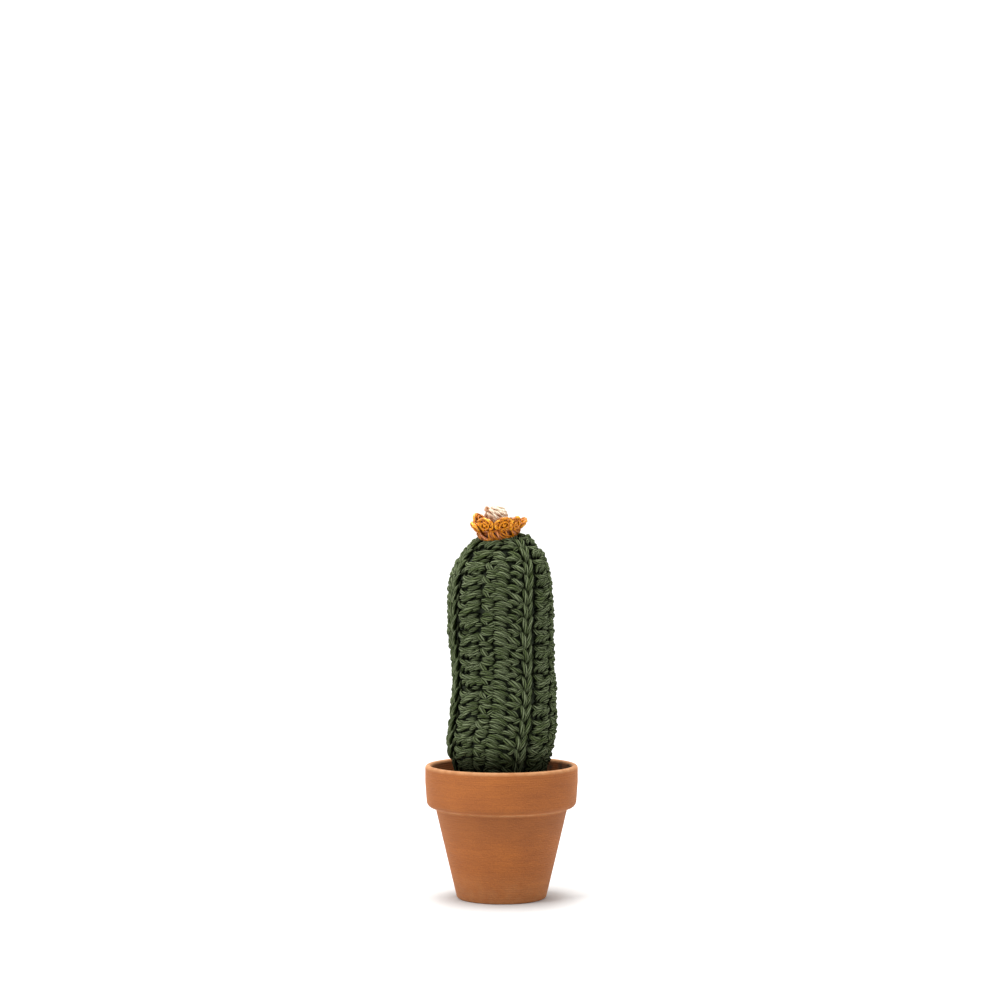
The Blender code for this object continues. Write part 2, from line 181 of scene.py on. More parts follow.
# Terracotta pot: one piece of red clay, turned on a jigger wheel and fired without glaze. The
# thick band round the rim was turned with it. Its lip is paler from wear and a painted highlight,
# and the clay also carries painted light low on the wall and painted shade under the band.
POT_RIM_RADIUS = 0.0550
POT_HEIGHT = 0.0957
POT_FOOT_RADIUS = 0.0325
POT_FOOT_ROUND = 0.0022
POT_NECK_RADIUS = 0.0474
POT_NECK_HEIGHT = 0.0652
POT_NECK_ROUND = 0.0012
POT_BAND_TAPER = 0.0010
POT_LIP_ROUND = 0.0021
POT_LIP_THICKNESS = 0.0044
POT_BAND_EDGE_ROUND = 0.0048
POT_WALL_AT_NECK = 0.0050
POT_WALL_AT_FOOT = 0.0056
POT_FLOOR_THICKNESS = 0.0065
POT_INNER_ROUND = 0.0030
POT_SHOULDER_HEIGHT = 0.0760
POT_DRAIN_RADIUS = 0.0060
POT_DRAIN_EDGE = 0.0006
POT_SEGMENTS = 160


def arc(centre, radius, start_deg, end_deg, steps):
    """Points on an arc in the (radius, height) plane; 0 degrees is outwards and 90 is up."""
    points = []
    for step in range(steps + 1):
        angle = math.radians(start_deg + (end_deg - start_deg) * step / steps)
        points.append((centre[0] + radius * math.cos(angle), centre[1] + radius * math.sin(angle)))
    return points


def pot_outline():
    """The pot's section, once round: underside, outer wall, band, lip, inner wall and drain."""
    foot, lip, edge = POT_FOOT_ROUND, POT_LIP_ROUND, POT_BAND_EDGE_ROUND
    wall_angle = math.degrees(math.atan2(POT_NECK_RADIUS - POT_FOOT_RADIUS, POT_NECK_HEIGHT))
    band_radius = POT_RIM_RADIUS - POT_BAND_TAPER
    inner_lip = POT_RIM_RADIUS - POT_LIP_THICKNESS
    inner_neck = POT_NECK_RADIUS - POT_WALL_AT_NECK
    inner_foot = POT_FOOT_RADIUS - POT_WALL_AT_FOOT
    floor = POT_FLOOR_THICKNESS
    neck = (POT_NECK_RADIUS + POT_NECK_ROUND, POT_NECK_HEIGHT - POT_NECK_ROUND)
    points = [(POT_DRAIN_RADIUS + POT_DRAIN_EDGE, 0.0), (0.018, 0.0)]
    points += arc((POT_FOOT_RADIUS - foot, foot), foot, -90.0, -wall_angle, 6)
    points += [(0.0373, 0.0215), (0.0424, 0.0430)]
    points += arc(neck, POT_NECK_ROUND, 180.0 - wall_angle, 105.0, 5)
    points += arc((band_radius - edge, POT_NECK_HEIGHT + edge), edge, -75.0, 0.0, 8)
    points += [(POT_RIM_RADIUS, POT_HEIGHT - 0.012)]
    points += arc((POT_RIM_RADIUS - lip, POT_HEIGHT - lip), lip, 0.0, 90.0, 7)
    points += arc((inner_lip + lip, POT_HEIGHT - lip), lip, 90.0, 180.0, 7)[1:]
    points += [(inner_lip - 0.0006, POT_SHOULDER_HEIGHT)]
    points += [(inner_neck + 0.0046, POT_SHOULDER_HEIGHT - 0.0052)]
    points += [(inner_neck, POT_NECK_HEIGHT - 0.0020)]
    points += [(0.0355, 0.0360)]
    points += arc((inner_foot - 0.0012, floor + POT_INNER_ROUND), POT_INNER_ROUND, 0.0, -90.0, 6)
    points += [(POT_DRAIN_RADIUS, floor)]
    points += [(POT_DRAIN_RADIUS, POT_DRAIN_EDGE)]
    return points


def terracotta_material():
    """Unglazed red earthenware, turned and fired: matt, fine sandy grain, faint turning rings.
    Paler from wear and a painted highlight at the lip, and from wear and painted light in a
    strip under the band; painted light on the foot and low wall, and painted shade under the
    band and on its lower edge."""
    material, tree, shader = start_material("fired_terracotta")
    place = add_node(tree, "ShaderNodeTexCoord").outputs["Object"]
    cloud = add_node(tree, "ShaderNodeTexNoise", {"Vector": place, "Scale": 45.0, "Detail": 4.0})
    drawn = add_node(tree, "ShaderNodeVectorMath", {0: place, 1: (0.06, 0.06, 1.0)},
                     operation="MULTIPLY")
    band = add_node(tree, "ShaderNodeTexNoise", {"Vector": drawn.outputs[0], "Scale": 420.0,
                    "Detail": 2.0})
    grain = add_node(tree, "ShaderNodeTexNoise", {"Vector": place, "Scale": 1400.0,
                     "Detail": 2.0})
    streaky = add_node(tree, "ShaderNodeMath", {0: band.outputs["Fac"], 1: 0.6,
                       2: cloud.outputs["Fac"]}, operation="MULTIPLY_ADD")
    mottle = add_node(tree, "ShaderNodeMath", {0: grain.outputs["Fac"], 1: 1.6,
                      2: streaky.outputs[0]}, operation="MULTIPLY_ADD")
    tone = add_node(tree, "ShaderNodeMapRange", {"Value": mottle.outputs[0], "From Min": 1.1,
                    "From Max": 2.1})
    clay = add_node(tree, "ShaderNodeMix", {0: tone.outputs["Result"]}, data_type="RGBA")
    clay.inputs["A"].default_value = srgb("844511")
    clay.inputs["B"].default_value = srgb("A25B1B")
    split = add_node(tree, "ShaderNodeSeparateXYZ", {0: place})
    height = split.outputs["Z"]
    # Paler bands up the pot: wear and a painted highlight at the lip, wear and painted light in a strip
    # under the band, and painted light on the foot and low wall.
    painted_lighting_band = height_band(tree, height, ((0.0, 0.2), (0.0006, 0.5), (0.0030, 0.3), (0.0240, 0), (0.0632, 0),
                                        (0.0648, 0.75), (0.0662, 0), (0.0928, 0), (0.0950, 1)))
    uneven = add_node(tree, "ShaderNodeTexNoise", {"Vector": place, "Scale": 160.0, "Detail": 3.0})
    patchy_blend = add_node(tree, "ShaderNodeMath", {0: painted_lighting_band, 1: uneven.outputs["Fac"]},
                    operation="MULTIPLY")
    lighter = add_node(tree, "ShaderNodeMix", {0: patchy_blend.outputs[0], "A": clay.outputs["Result"]},
                       data_type="RGBA")
    lighter.inputs["B"].default_value = srgb("C79668")
    # Painted shade: darker on the wall under the band and on the band's lower edge, which faces down.
    painted_shade_band = height_band(tree, height, ((0.0400, 0), (0.0540, 0.3), (0.0628, 0.4), (0.0640, 0),
                                        (0.0660, 0), (0.0670, 0.35), (0.0690, 0)))
    darker = add_node(tree, "ShaderNodeMix", {0: painted_shade_band, "A": lighter.outputs["Result"]},
                      data_type="RGBA")
    darker.inputs["B"].default_value = srgb("744014")
    # Painted shadow: dark green-grey on the inner wall at the right, shaded by the cactus.
    painted_inner_shadow = add_node(tree, "ShaderNodeMix", {0: inner_shadow_patch(tree, place, split, cloud),
                     "A": darker.outputs["Result"]}, data_type="RGBA")
    painted_inner_shadow.inputs["B"].default_value = srgb("1C2A1E")
    grit = add_node(tree, "ShaderNodeTexVoronoi", {"Vector": place, "Scale": 520.0})
    speck = add_node(tree, "ShaderNodeMapRange", {"Value": grit.outputs["Distance"],
                     "From Min": 0.05, "From Max": 0.18, "To Min": 0.40, "To Max": 0.0})
    specked = add_node(tree, "ShaderNodeMix", {0: speck.outputs["Result"],
                       "A": painted_inner_shadow.outputs["Result"]}, data_type="RGBA")
    specked.inputs["B"].default_value = srgb("582C10")
    tree.links.new(specked.outputs["Result"], shader.inputs["Base Color"])
    rings = add_node(tree, "ShaderNodeTexWave", {"Vector": place, "Scale": 190.0,
                     "Distortion": 1.2, "Detail": 2.0}, bands_direction="Z")
    sand = add_node(tree, "ShaderNodeTexNoise", {"Vector": place, "Scale": 1500.0, "Detail": 3.0})
    rough = add_node(tree, "ShaderNodeMath", {0: sand.outputs["Fac"], 1: rings.outputs["Fac"],
                     2: 0.0}, operation="ADD")
    bump = add_node(tree, "ShaderNodeBump", {"Height": rough.outputs[0], "Distance": 0.00012,
                    "Strength": 0.6})
    tree.links.new(bump.outputs["Normal"], shader.inputs["Normal"])
    shader.inputs["Roughness"].default_value = 0.75
    shader.inputs["Specular IOR Level"].default_value = 0.5
    shader.inputs["Sheen Weight"].default_value = 0.25
    shader.inputs["Sheen Roughness"].default_value = 0.4
    shader.inputs["Sheen Tint"].default_value = srgb("FFB070")
    return material


def inner_shadow_patch(tree, place, split, cloud):
    """Painted shadow on the inside of the band, on its right: a value from 0 to 1."""
    flat = add_node(tree, "ShaderNodeVectorMath", {0: place, 1: (1.0, 1.0, 0.0)},
                    operation="MULTIPLY")
    radius = add_node(tree, "ShaderNodeVectorMath", {0: flat.outputs[0]}, operation="LENGTH")
    within = add_node(tree, "ShaderNodeMapRange", {"Value": radius.outputs["Value"],
                      "From Min": POT_RIM_RADIUS - POT_LIP_THICKNESS + 0.0006,
                      "From Max": POT_RIM_RADIUS - POT_LIP_THICKNESS})
    high = add_node(tree, "ShaderNodeMapRange", {"Value": split.outputs["Z"],
                    "From Min": POT_SHOULDER_HEIGHT, "From Max": POT_SHOULDER_HEIGHT + 0.008})
    rightwards = add_node(tree, "ShaderNodeMapRange", {"Value": split.outputs["X"],
                          "From Min": 0.010, "From Max": 0.036})
    ragged = add_node(tree, "ShaderNodeMapRange", {"Value": cloud.outputs["Fac"],
                      "From Min": 0.35, "From Max": 0.50})
    value = within.outputs["Result"]
    for part in (high, rightwards, ragged):
        value = add_node(tree, "ShaderNodeMath", {0: value, 1: part.outputs["Result"]},
                         operation="MULTIPLY").outputs[0]
    return value


def height_band(tree, height, stops):
    """A value that follows the stops, given as (height, value), up the object."""
    low, high = stops[0][0], stops[-1][0]
    share = add_node(tree, "ShaderNodeMapRange", {"Value": height, "From Min": low,
                     "From Max": high})
    ramp = add_node(tree, "ShaderNodeValToRGB", {0: share.outputs["Result"]}).color_ramp
    while len(ramp.elements) < len(stops):
        ramp.elements.new(0.5)
    for element, (at, value) in zip(ramp.elements, stops):
        element.position = (at - low) / (high - low)
        element.color = (value, value, value, 1.0)
    return tree.nodes[-1].outputs["Color"]


outline = pot_outline()
pot_points = []
pot_faces = []
for side in range(POT_SEGMENTS):
    angle = 2.0 * math.pi * side / POT_SEGMENTS
    for radius, height in outline:
        pot_points.append((radius * math.cos(angle), radius * math.sin(angle), height))
    next_side = ((side + 1) % POT_SEGMENTS - side) * len(outline)
    for index in range(len(outline)):
        here = side * len(outline) + index
        above = side * len(outline) + (index + 1) % len(outline)
        pot_faces.append((here, here + next_side, above + next_side, above))
turned_pot = mesh_object("turned_pot", pot_points, pot_faces, terracotta_material())
turned_pot.data.set_sharp_from_angle(angle=math.radians(50.0))
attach(turned_pot, "root")
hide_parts("pot")

# Stuffing: loose polyester fibre, teased out and packed by hand into the cover, so it fills the
# cactus down to the bottom of the pot. Its surface is lumpy where the tufts press outwards.
FABRIC_THICKNESS = 0.0065
BOTTOM_HOLE_RADIUS = 0.0025
BODY_OUTLINE = (
    (BOTTOM_HOLE_RADIUS, 0.0077),
    (0.0140, 0.0078),
    (0.0226, 0.0102),
    (0.0276, 0.0160),
    (0.0306, 0.0260),
    (0.0325, 0.0440),
    (0.0330, 0.0660),
    (0.0328, 0.0860),
    (0.0345, 0.0955),
    (0.0380, 0.1050),
    (0.0392, 0.1150),
    (0.0384, 0.1400),
    (0.0374, 0.1690),
    (0.0385, 0.1930),
    (0.0383, 0.2150),
    (0.0358, 0.2355),
    (0.0305, 0.2475),
    (0.0260, 0.2540),
    (0.0200, 0.2592),
    (0.0120, 0.2622),
    (0.0000, 0.2636),
)
BODY_SWAY = (
    (0.0400, 0.0000),
    (0.0930, -0.0005),
    (0.1060, -0.0010),
    (0.1310, 0.0012),
    (0.1500, 0.0022),
    (0.1710, 0.0009),
    (0.1930, -0.0006),
    (0.2200, -0.0008),
    (0.2500, -0.0002),
)
TOP_SLOPE = 0.080
TOP_SLOPE_START = 0.2300
TOP_SLOPE_FULL = 0.2580
OUTLINE_STEPS = 12
STUFFING_SIDES = 72
STUFFING_RINGS = 90
STUFFING_LUMP = 0.0009
STUFFING_LUMP_SIZE = 0.012


def smooth_line(knots, steps):
    """A curve through all knots but the first and the last, which only steer its ends."""
    slopes = []
    for before, here, after in zip(knots, knots[1:], knots[2:]):
        step_in = (here - before).length
        step_out = (after - here).length
        slope_in = (here - before) / step_in
        slope_out = (after - here) / step_out
        slopes.append((slope_in * step_out + slope_out * step_in) / (step_in + step_out))
    line = []
    for index in range(len(knots) - 3):
        start, end = knots[index + 1], knots[index + 2]
        span = (end - start).length
        for step in range(steps):
            t = step / steps
            point = start * (2 * t**3 - 3 * t**2 + 1) + end * (3 * t**2 - 2 * t**3)
            point += slopes[index] * span * (t**3 - 2 * t**2 + t)
            point += slopes[index + 1] * span * (t**3 - t**2)
            line.append(point)
    line.append(knots[-2].copy())
    return line


def interpolate(table, value):
    """The value of a table of (at, value) rows, eased between them."""
    if value <= table[0][0]:
        return table[0][1]
    for (low, at_low), (high, at_high) in zip(table, table[1:]):
        if value <= high:
            t = (value - low) / (high - low)
            t = t * t * (3.0 - 2.0 * t)
            return at_low + (at_high - at_low) * t
    return table[-1][1]


outline_knots = [Vector(knot) for knot in BODY_OUTLINE]
below_start = Vector((2.0 * outline_knots[0].x - outline_knots[1].x, outline_knots[1].y))
beyond_top = Vector((-outline_knots[-2].x, outline_knots[-2].y))
body_curve = smooth_line([below_start, *outline_knots, beyond_top], OUTLINE_STEPS)
body_runs = [0.0]
for start, end in zip(body_curve, body_curve[1:]):
    body_runs.append(body_runs[-1] + (end - start).length)
BODY_LENGTH = body_runs[-1]


def body_section(run, depth):
    """Radius and height at a run along the outline, moved inwards by depth."""
    run = min(max(run, 0.0), BODY_LENGTH)
    index = min(max(int(np.searchsorted(body_runs, run)) - 1, 0), len(body_runs) - 2)
    start, end = body_curve[index], body_curve[index + 1]
    point = start + (end - start).normalized() * (run - body_runs[index])
    after = body_curve[min(index + 2, len(body_curve) - 1)]
    before = body_curve[max(index - 1, 0)]
    along = (after - before).normalized()
    return point.x - along.y * depth, point.y + along.x * depth


def body_place(run, angle, depth):
    """World position; angle from the front, depth inside the crests of the stitches."""
    radius, height = body_section(run, depth)
    x = radius * math.sin(angle) + interpolate(BODY_SWAY, height)
    y = -radius * math.cos(angle)
    ramp = (height - TOP_SLOPE_START) / (TOP_SLOPE_FULL - TOP_SLOPE_START)
    slope = TOP_SLOPE * min(max(ramp, 0.0), 1.0)
    return Vector((x, y, height + slope * x))


def body_skin(name, depth, sides, rings, bump, bump_size, material):
    """A closed lumpy skin at a depth inside the crests of the stitches."""
    points = []
    faces = []
    noise_shift = Vector((depth * 977.0, 0.0, 0.0))
    for ring in range(rings):
        run = BODY_LENGTH * (ring + 0.02) / rings
        for side in range(sides):
            angle = 2.0 * math.pi * side / sides
            point = body_place(run, angle, depth)
            lump = noise.noise(point / bump_size + noise_shift)
            points.append(body_place(run, angle, depth + bump * (0.5 - lump)))
    for ring in range(rings - 1):
        for side in range(sides):
            beside = (side + 1) % sides
            low, high = ring * sides, (ring + 1) * sides
            faces.append((low + side, low + beside, high + beside, high + side))
    faces.append(tuple(range(sides - 1, -1, -1)))
    top = (rings - 1) * sides
    middle = len(points)
    points.append(body_place(BODY_LENGTH, 0.0, depth))
    for side in range(sides):
        faces.append((top + side, top + (side + 1) % sides, middle))
    return mesh_object(name, points, faces, material)


def fibre_material():
    """White polyester filling fibre, carded: soft, matt, a tangle of fine strands."""
    material, tree, shader = start_material("carded_polyester_fibre")
    place = add_node(tree, "ShaderNodeTexCoord").outputs["Object"]
    tangle = add_node(tree, "ShaderNodeTexNoise", {"Vector": place, "Scale": 700.0,
                      "Detail": 5.0, "Distortion": 2.0})
    tint = add_node(tree, "ShaderNodeMix", {0: tangle.outputs["Fac"]}, data_type="RGBA")
    tint.inputs["A"].default_value = srgb("D9D7CF")
    tint.inputs["B"].default_value = srgb("F4F3EE")
    bump = add_node(tree, "ShaderNodeBump", {"Height": tangle.outputs["Fac"],
                    "Distance": 0.0004})
    tree.links.new(tint.outputs["Result"], shader.inputs["Base Color"])
    tree.links.new(bump.outputs["Normal"], shader.inputs["Normal"])
    shader.inputs["Roughness"].default_value = 0.95
    return material


packed_stuffing = body_skin("packed_stuffing", FABRIC_THICKNESS + 0.0006, STUFFING_SIDES,
                            STUFFING_RINGS, STUFFING_LUMP, STUFFING_LUMP_SIZE, fibre_material())
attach(packed_stuffing, "root")
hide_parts("filling")

# Crocheted cover: soft cotton yarn of several thin plies, worked sideways in single crochet, so
# that its rows run up the cactus. Four ridges of chain loops stand out, and between them lie
# five rows of stitches. The side that shows is pulled tight over the stuffing.
STITCH_HEIGHT = 0.0104
COLUMN_WIDTH = 0.0098
CHAIN_ANGLES_DEG = (-61.0, 36.0, 124.0, 208.0)
CHAIN_LEVEL = 0.2250
TWIST_DEG_PER_M = 100.0
YARN_RADIUS = 0.00196
YARN_THREADS = 5
THREAD_PLIES = 2
THREAD_SHARE = 0.38
THREAD_SPREAD = 0.66
THREAD_WAVINESS = 0.0008
YARN_FLATNESS = 0.20
YARN_TURNS_PER_M = 38.0
PLY_TURNS_PER_M = 90.0
SHADE_FROM = 0.0006
SHADE_TO = 0.0032
# Painted shade across each stitch: it starts where a point faces this far out and is full by the edge.
EDGE_SHADE_FROM = 0.80
EDGE_SHADE_TO = 0.12
# Painted shade on the yarn low down by the pot's rim, full at the lower height.
RIM_SHADE_FROM = 0.1120
RIM_SHADE_TO = 0.0960
GROUND_DEPTH = 0.0035
HIDDEN_BELOW = 0.0830
STRAND_STEPS = 8
HIDDEN_STRAND_STEPS = 6
CREST_DEPTH = 0.0024
OUT_UNIT = 0.0014
DIVE_UNIT = 0.0011

# One row of the pattern, from a ridge to the next. Each motif has its width in columns and one
# or more ways in which it falls. A strand is its thickness beside the yarn's, and the points
# that it passes, as (columns to the right, rows up, millimetres out).
CROCHET_MOTIFS = {
    "chain": (1, ((
        (1.10, ((-0.08, 0.60, -1.2), (0.00, 0.34, 0.5), (0.10, -0.04, 0.8),
                (0.20, -0.44, 0.4), (0.30, -0.84, -1.4))),
        (1.00, ((0.70, 0.78, -1.2), (0.60, 0.44, 0.7), (0.50, 0.02, 1.0),
                (0.40, -0.38, 0.6), (0.32, -0.80, -1.4))),
        (0.95, ((0.36, 0.40, -1.2), (0.34, 0.12, -0.1), (0.30, -0.20, -0.2),
                (0.28, -0.50, -1.6))),
        (0.85, ((0.84, 0.20, -1.6), (0.80, -0.10, -0.8), (0.74, -0.38, -0.9),
                (0.70, -0.62, -2.0))),
    ),)),
    "loops": (2, ((
        (1.00, ((0.02, 0.62, -1.4), (0.14, 0.42, 0.2), (0.45, 0.32, 0.4), (1.00, 0.36, 0.4),
                (1.60, 0.42, 0.2), (1.98, 0.52, -1.4))),
        (0.95, ((0.26, -0.34, -1.4), (0.20, -0.12, 0.2), (0.42, 0.08, 0.5), (0.90, 0.16, 0.3),
                (1.20, 0.25, -1.2))),
        (0.95, ((0.60, -0.44, -1.4), (0.66, -0.17, 0.3), (0.95, 0.06, 0.6), (1.40, 0.22, 0.4),
                (1.75, 0.36, -1.2))),
        (0.95, ((0.92, -0.38, -1.2), (1.08, -0.16, 0.4), (1.42, 0.05, 0.6), (1.76, 0.25, 0.3),
                (2.00, 0.44, -1.4))),
        (0.85, ((1.46, -0.16, -1.4), (1.68, -0.04, 0.3), (1.95, 0.05, 0.2),
                (2.14, -0.05, -1.4))),
        (0.95, ((1.00, -0.54, -1.6), (1.25, -0.40, 0.1), (1.60, -0.30, 0.3),
                (1.90, -0.20, -1.4))),
        (0.90, ((0.14, -0.42, -1.6), (0.50, -0.58, -0.4), (1.00, -0.62, -0.4),
                (1.40, -0.54, -1.6))),
    ), (
        (1.05, ((0.00, 0.62, -1.4), (0.12, 0.38, 0.2), (0.45, 0.24, 0.4), (0.95, 0.22, 0.2),
                (1.25, 0.27, -1.4))),
        (1.25, ((0.08, -0.28, -1.4), (0.35, -0.32, 0.3), (0.80, -0.12, 0.7), (1.30, 0.16, 0.7),
                (1.75, 0.38, 0.3), (2.04, 0.52, -1.4))),
        (0.90, ((0.12, 0.00, -1.4), (0.35, -0.03, 0.2), (0.72, 0.07, 0.3), (1.10, 0.32, 0.1),
                (1.50, 0.47, -1.4))),
        (1.00, ((0.64, -0.60, -1.6), (1.05, -0.50, 0.0), (1.50, -0.38, 0.1),
                (1.90, -0.22, -1.4))),
        (0.90, ((1.30, -0.14, -1.4), (1.60, -0.03, 0.2), (1.86, 0.12, 0.1),
                (2.04, 0.27, -1.4))),
    ))),
    "slants": (1, ((
        (1.15, ((-0.08, 0.44, -1.4), (0.06, 0.32, 0.3), (0.22, 0.17, 0.5), (0.38, 0.02, 0.2),
                (0.48, -0.12, -1.4))),
        (1.00, ((-0.02, -0.40, -1.4), (0.20, -0.28, 0.4), (0.50, -0.24, 0.6),
                (0.80, -0.27, 0.3), (1.00, -0.38, -1.4))),
        (1.05, ((0.00, -0.46, -1.4), (0.20, -0.56, 0.3), (0.50, -0.60, 0.5),
                (0.78, -0.56, 0.2), (0.98, -0.44, -1.4))),
        (0.95, ((0.62, -0.14, -1.4), (0.76, -0.02, 0.2), (0.92, 0.08, 0.3),
                (1.08, 0.18, -1.2))),
    ),)),
    "pair": (1, ((
        (1.05, ((-0.20, -0.16, -1.4), (0.08, -0.12, 0.3), (0.42, -0.15, 0.6),
                (0.78, -0.26, 0.2), (1.06, -0.40, -1.4))),
        (1.15, ((-0.16, -0.62, -1.4), (0.12, -0.52, 0.4), (0.52, -0.54, 0.7),
                (0.94, -0.68, 0.3), (1.22, -0.84, -1.4))),
        (0.95, ((-0.22, 0.16, -1.4), (0.06, 0.20, 0.3), (0.42, 0.16, 0.5), (0.76, 0.04, 0.1),
                (1.02, -0.08, -1.4))),
    ),)),
    "falling": (1, ((
        (1.05, ((-0.28, -0.42, -1.4), (-0.05, -0.36, 0.3), (0.30, -0.38, 0.5),
                (0.62, -0.50, 0.1), (0.82, -0.61, -1.4))),
        (1.15, ((-0.04, 0.25, -1.4), (0.20, 0.12, 0.3), (0.50, -0.02, 0.4), (0.85, -0.22, 0.2),
                (1.07, -0.40, -1.4))),
        (0.92, ((0.12, -0.10, -1.6), (0.40, -0.25, -0.3), (0.70, -0.42, -0.4),
                (0.98, -0.62, -1.6))),
        (0.90, ((0.40, 0.16, -1.4), (0.60, 0.34, 0.3), (0.80, 0.48, 0.3),
                (1.02, 0.66, -1.4))),
    ),)),
}
MOTIFS_ACROSS = {
    1: ("chain",),
    2: ("chain", "pair"),
    3: ("chain", "pair", "falling"),
    4: ("chain", "loops", "falling"),
    5: ("chain", "loops", "pair", "falling"),
    6: ("chain", "loops", "slants", "pair", "falling"),
}


def yarn_tree():
    """Makes yarn along strands that are drawn as wire edges.

    The wire's points carry yarn_radius, strand (a number from 0 to 1, the same all along a
    strand) and outwards, the way out of the fabric. Each strand becomes a bundle of threads
    that wind round it, and the bundle is pressed flat against the fabric.
    """
    tree = bpy.data.node_groups.new("yarn_tree", "GeometryNodeTree")
    sockets = tree.interface
    sockets.new_socket("Yarn", in_out="OUTPUT", socket_type="NodeSocketGeometry")
    sockets.new_socket("Strands", in_out="INPUT", socket_type="NodeSocketGeometry")
    for name, kind in (("Threads", "Int"), ("Thread sides", "Int"), ("Thread share", "Float"),
                       ("Spread", "Float"), ("Turns per metre", "Float"), ("Flatness", "Float"),
                       ("Waviness", "Float"), ("Seed", "Float"), ("Finish", "Material")):
        sockets.new_socket(name, in_out="INPUT", socket_type="NodeSocket" + kind)
    given = add_node(tree, "NodeGroupInput").outputs
    place = add_node(tree, "GeometryNodeInputPosition").outputs["Position"]
    strand = add_node(tree, "GeometryNodeInputNamedAttribute", {"Name": "strand"},
                      data_type="FLOAT").outputs["Attribute"]
    radius = add_node(tree, "GeometryNodeInputNamedAttribute", {"Name": "yarn_radius"},
                      data_type="FLOAT").outputs["Attribute"]
    outwards = add_node(tree, "GeometryNodeInputNamedAttribute", {"Name": "outwards"},
                        data_type="FLOAT_VECTOR").outputs["Attribute"]
    curve = add_node(tree, "GeometryNodeMeshToCurve", {"Mesh": given["Strands"]})
    level = add_node(tree, "GeometryNodeSetCurveNormal", {"Curve": curve.outputs[0]},
                     mode="MINIMUM_TWIST")
    copies = add_node(tree, "GeometryNodeDuplicateElements", {"Geometry": level.outputs[0],
                      "Amount": given["Threads"]}, domain="SPLINE")
    index = copies.outputs["Duplicate Index"]
    along = add_node(tree, "GeometryNodeSplineParameter").outputs["Length"]
    part = add_node(tree, "ShaderNodeMath", {0: index, 1: given["Threads"]}, operation="DIVIDE")
    start = add_node(tree, "ShaderNodeMath", {0: part.outputs[0], 1: strand}, operation="ADD")
    turns = add_node(tree, "ShaderNodeMath", {0: along, 1: given["Turns per metre"],
                     2: start.outputs[0]}, operation="MULTIPLY_ADD")
    angle = add_node(tree, "ShaderNodeMath", {0: turns.outputs[0], 1: 2.0 * math.pi},
                     operation="MULTIPLY").outputs[0]
    sine = add_node(tree, "ShaderNodeMath", {0: angle}, operation="SINE")
    cosine = add_node(tree, "ShaderNodeMath", {0: angle}, operation="COSINE")
    normal = add_node(tree, "GeometryNodeInputNormal").outputs["Normal"]
    tangent = add_node(tree, "GeometryNodeInputTangent").outputs["Tangent"]
    across = add_node(tree, "ShaderNodeVectorMath", {0: tangent, 1: normal},
                      operation="CROSS_PRODUCT")
    first = add_node(tree, "ShaderNodeVectorMath", {0: normal, "Scale": cosine.outputs[0]},
                     operation="SCALE")
    second = add_node(tree, "ShaderNodeVectorMath", {0: across.outputs[0],
                      "Scale": sine.outputs[0]}, operation="SCALE")
    unit = add_node(tree, "ShaderNodeVectorMath", {0: first.outputs[0], 1: second.outputs[0]},
                    operation="ADD")
    facing = add_node(tree, "ShaderNodeVectorMath", {0: unit.outputs[0], 1: outwards},
                      operation="DOT_PRODUCT").outputs["Value"]
    press = add_node(tree, "ShaderNodeMath", {0: facing, 1: given["Flatness"]},
                     operation="MULTIPLY")
    pressed = add_node(tree, "ShaderNodeVectorMath", {0: outwards, "Scale": press.outputs[0]},
                       operation="SCALE")
    flat = add_node(tree, "ShaderNodeVectorMath", {0: unit.outputs[0], 1: pressed.outputs[0]},
                    operation="SUBTRACT")
    reach = add_node(tree, "ShaderNodeMath", {0: radius, 1: given["Spread"]},
                     operation="MULTIPLY")
    offset = add_node(tree, "ShaderNodeVectorMath", {0: flat.outputs[0],
                      "Scale": reach.outputs[0]}, operation="SCALE")
    own = add_node(tree, "ShaderNodeMath", {0: index, 1: 0.013, 2: given["Seed"]},
                   operation="MULTIPLY_ADD")
    seed = add_node(tree, "ShaderNodeCombineXYZ", {"X": own.outputs[0]}).outputs["Vector"]
    seeded = add_node(tree, "ShaderNodeVectorMath", {0: place, 1: seed}, operation="ADD")
    wave = add_node(tree, "ShaderNodeTexNoise", {"Vector": seeded.outputs[0], "Scale": 240.0})
    centred = add_node(tree, "ShaderNodeVectorMath", {0: wave.outputs["Color"],
                       1: (0.5, 0.5, 0.5)}, operation="SUBTRACT")
    shift = add_node(tree, "ShaderNodeVectorMath", {0: centred.outputs[0],
                     "Scale": given["Waviness"]}, operation="SCALE")
    moved = add_node(tree, "ShaderNodeVectorMath", {0: offset.outputs[0],
                     1: shift.outputs[0]}, operation="ADD")
    toned = add_node(tree, "GeometryNodeStoreNamedAttribute", {"Geometry": copies.outputs[0],
                     "Name": "facing", "Value": facing}, data_type="FLOAT", domain="POINT")
    measured = add_node(tree, "GeometryNodeStoreNamedAttribute", {"Geometry": toned.outputs[0],
                        "Name": "along", "Value": along}, data_type="FLOAT", domain="POINT")
    hue = add_node(tree, "ShaderNodeMath", {0: index, 1: 0.381, 2: strand},
                   operation="MULTIPLY_ADD")
    fraction = add_node(tree, "ShaderNodeMath", {0: hue.outputs[0]}, operation="FRACT")
    named = add_node(tree, "GeometryNodeStoreNamedAttribute", {"Geometry": measured.outputs[0],
                     "Name": "thread", "Value": fraction.outputs[0]}, data_type="FLOAT",
                     domain="POINT")
    wound = add_node(tree, "GeometryNodeSetPosition", {"Geometry": named.outputs[0],
                     "Offset": moved.outputs[0]})
    circle = add_node(tree, "GeometryNodeCurvePrimitiveCircle", {
                      "Resolution": given["Thread sides"], "Radius": 1.0})
